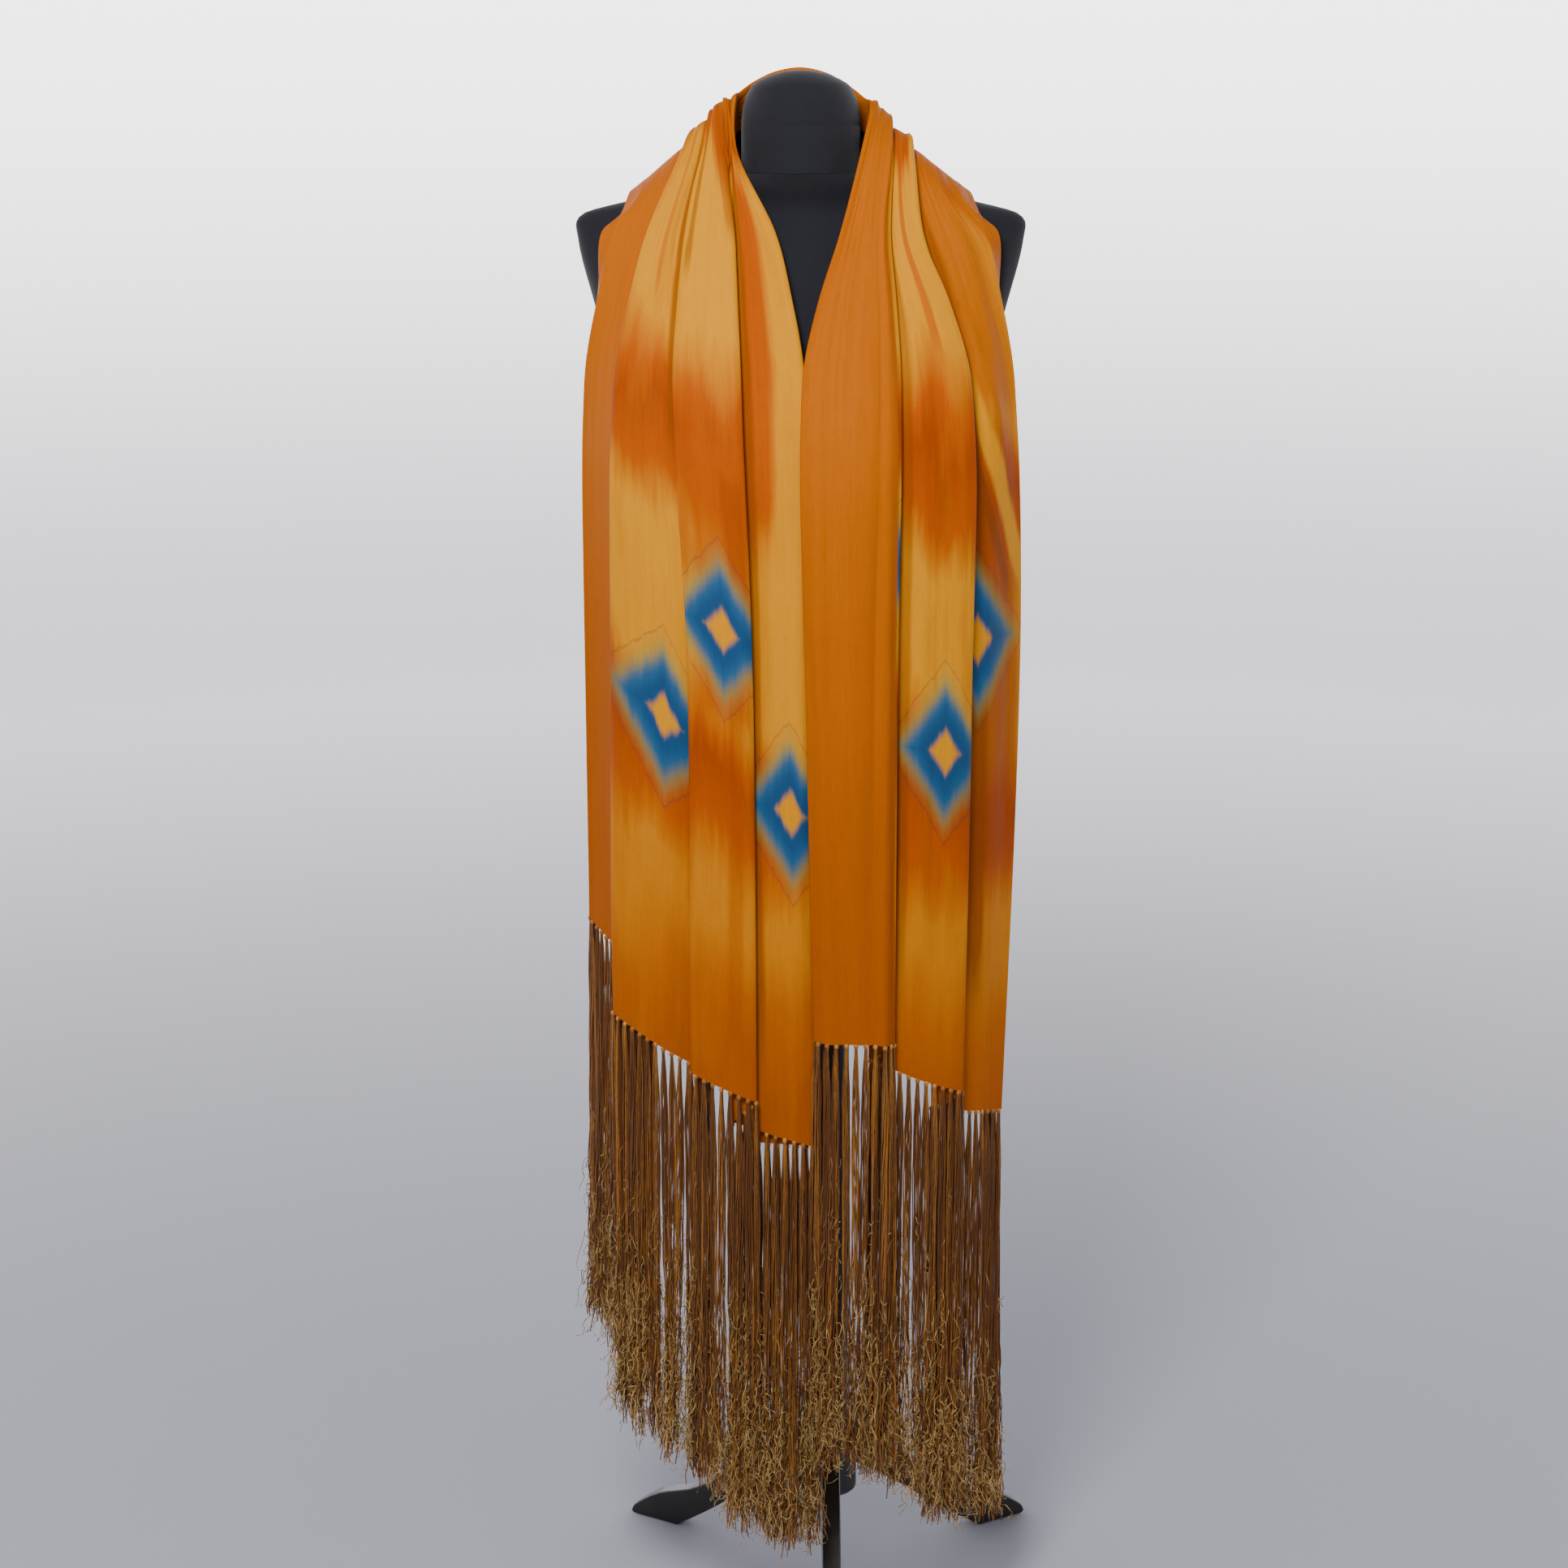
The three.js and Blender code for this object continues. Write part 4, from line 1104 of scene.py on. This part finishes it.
# The torso's lowest height, where its shoulders begin to round, and the close heights above that
TORSO_Z, SHOULDER_Z = 655, 1300
SHOULDER_HEIGHTS = (1304, 1308, 1312, 1316, 1319, 1322, 1325, 1328, 1331, 1334, 1337, 1341, 1345, 1350)

# The neck's profile, as radius and height, with the fine rim under its cap
NECK_PROFILE = (
    (53.6, 1350.4), (52.9, 1362), (52.7, 1376), (52.7, 1390), (52.2, 1391.2), (52.6, 1392.6),
    (52.2, 1398), (51.0, 1408), (49.0, 1415), (46.6, 1420), (44.2, 1424.6), (40, 1428.2),
    (34, 1431.4), (26, 1434.8), (17, 1437.3), (8, 1438.7), (1.0, 1439.0),
)


@dataclass
class DressForm:
    """The covered form: a smooth torso without limbs, and its neck with a domed cap."""

    around: int = 96
    rise: float = 7.0
    finish: JerseyFinish = field(default_factory=JerseyFinish)

    def build(self) -> list[bpy.types.Object]:
        """Builds the torso and the neck."""
        jersey = self.finish.material()
        return [self._torso(jersey), self._neck(jersey)]

    def _closed_loft(self, rings: np.ndarray) -> bpy.types.Object:
        """A tube through rings, closed flat at both ends."""
        piece = grid_of(in_frame(np.concatenate([rings, rings[:, :1]], axis=1)), close=True)
        bpy.ops.object.mode_set(mode="EDIT")
        bpy.ops.mesh.select_all(action="SELECT")
        bpy.ops.mesh.fill_holes(sides=0)
        bpy.ops.mesh.normals_make_consistent(inside=False)
        bpy.ops.object.mode_set(mode="OBJECT")
        return piece

    def _torso(self, jersey: bpy.types.Material) -> bpy.types.Object:
        """The torso, from its sections."""
        count = int((SHOULDER_Z - TORSO_Z) / self.rise)
        heights = set(np.linspace(TORSO_Z, SHOULDER_Z, count).tolist()) | set(SHOULDER_HEIGHTS)
        angles = np.linspace(0, 2 * math.pi, self.around, endpoint=False)
        rings = []
        for z in sorted(heights):
            half = form_size("half", z)
            front, back = form_size("front", z), form_size("back", z)
            depth = np.where(np.sin(angles) > 0, back, front)
            rings.append(np.column_stack([half * np.cos(angles), depth * np.sin(angles),
                                          np.full(self.around, z)]))
        piece = self._closed_loft(np.array(rings))
        smooth(piece, 50)
        return hand_over(piece, "covered_torso", "jersey", jersey, "form_torso")

    def _neck(self, jersey: bpy.types.Material) -> bpy.types.Object:
        """The neck with the fine rim under its domed cap."""
        angles = np.linspace(0, 2 * math.pi, self.around, endpoint=False)
        rings = [np.column_stack([r * np.cos(angles), r * np.sin(angles), np.full(self.around, z)])
                 for r, z in NECK_PROFILE]
        piece = self._closed_loft(np.array(rings))
        smooth(piece, 50)
        return hand_over(piece, "covered_neck", "jersey", jersey, "form_neck")


@dataclass
class Stand:
    """The three-legged stand, whose nodes have their true shape and get their paint here."""

    finish: PaintFinish = field(default_factory=PaintFinish)

    def dress(self) -> None:
        """Paints the stand's nodes."""
        paint = self.finish.material()
        for name in ("pole", "hub", "leg_front", "leg_left", "leg_right"):
            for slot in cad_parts[name].material_slots:
                slot.material = paint


@dataclass
class Studio:
    """A round paper backdrop that glows behind the form, soft light and the photograph's camera."""

    lens: float = 65.8
    pitch: float = 13.0
    camera: tuple[float, float, float] = (-15.0, -2600.0, 1394.0)
    radius: float = 6.5
    bend: float = 2.0
    top: float = 4.2

    def build(self) -> None:
        """Builds the backdrop, the lights and the camera."""
        self._backdrop()
        world = bpy.context.scene.world or bpy.data.worlds.new("World")
        bpy.context.scene.world = world
        world.use_nodes = True
        world.node_tree.nodes["Background"].inputs[0].default_value = (0.93, 0.94, 1.0, 1)
        world.node_tree.nodes["Background"].inputs[1].default_value = 0.3
        self._light("key", (-0.4, -1.6, 2.25), (0.0, 0.0, 1.15), 54, 0.55)
        self._light("fill", (2.0, -2.0, 1.3), (0.0, 0.0, 0.8), 5, 1.6)
        data = bpy.data.cameras.new("camera")
        data.lens = self.lens
        data.sensor_width = 36
        view = bpy.data.objects.new("camera", data)
        view.location = Vector(in_frame(np.array(self.camera)).tolist())
        view.rotation_euler = (math.radians(90 - self.pitch), 0, 0)
        bpy.context.scene.collection.objects.link(view)
        bpy.context.scene.camera = view

    def _backdrop(self) -> None:
        """A round floor that curves up into a wall on all sides."""
        turn = np.linspace(0, math.pi / 2, 13)
        reach = np.concatenate([[0.01, 1.0, 2.5], self.radius - self.bend + self.bend * np.sin(turn),
                                [self.radius]])
        height = np.concatenate([[0, 0, 0], self.bend * (1 - np.cos(turn)), [self.top]]) - 0.0006
        angles = np.linspace(0, 2 * math.pi, 73)
        points = np.array([[(r * math.cos(a), r * math.sin(a), z) for a in angles]
                           for r, z in zip(reach, height)])
        paper = grid_of(points, close=True)
        smooth(paper)
        paper.name = "paper"
        shader = Shader("paper", 0.9)
        x, y, z = shader.parts(shader.node("ShaderNodeTexCoord", None, (), "Object"))
        # Painted shade: the paper is darker near the middle of the floor and lighter out towards the wall,
        # for the light that falls off towards the floor
        painted_shade_falloff = ((x * x + y * y) ** 0.5 / 4.5).clamped()
        tone = shader.blend(painted_shade_falloff, (0.35, 0.36, 0.41, 1), (0.80, 0.80, 0.84, 1))
        glow = ((z + 0.15) / 2.1).clamped() * (y / 3.5).clamped()
        shader.set(Base_Color=tone, Specular_IOR_Level=0.1, Emission_Strength=3.4,
                   Emission_Color=shader.blend(glow, (0.0, 0.0, 0.0, 1), (1.0, 0.98, 1.0, 1)))
        paper.data.materials.append(shader.material)

    @staticmethod
    def _light(name: str, place: tuple, aim: tuple, power: float, size: float) -> None:
        """A soft square light aimed at a place."""
        data = bpy.data.lights.new(name, "AREA")
        data.energy = power
        data.size = size
        lamp = bpy.data.objects.new(name, data)
        lamp.location = place
        lamp.rotation_euler = (Vector(aim) - Vector(place)).to_track_quat("-Z", "Y").to_euler()
        bpy.context.scene.collection.objects.link(lamp)


def main() -> None:
    """Builds the studio and every piece, and logs the cloth's length."""
    logging.basicConfig(level=logging.INFO, format="%(message)s")
    Studio().build()
    drape = Drape()
    log.info("cloth length %.0f mm", drape.length)
    DressForm().build()
    Stand().dress()
    shawl = Shawl(drape)
    silk = shawl.build()
    fringes = Fringe("left", drape.points[0], seed=11, length=379).build()
    fringes += Fringe("right", drape.points[-1], seed=23, length=394).build()


if __name__ == "__main__":
    main()
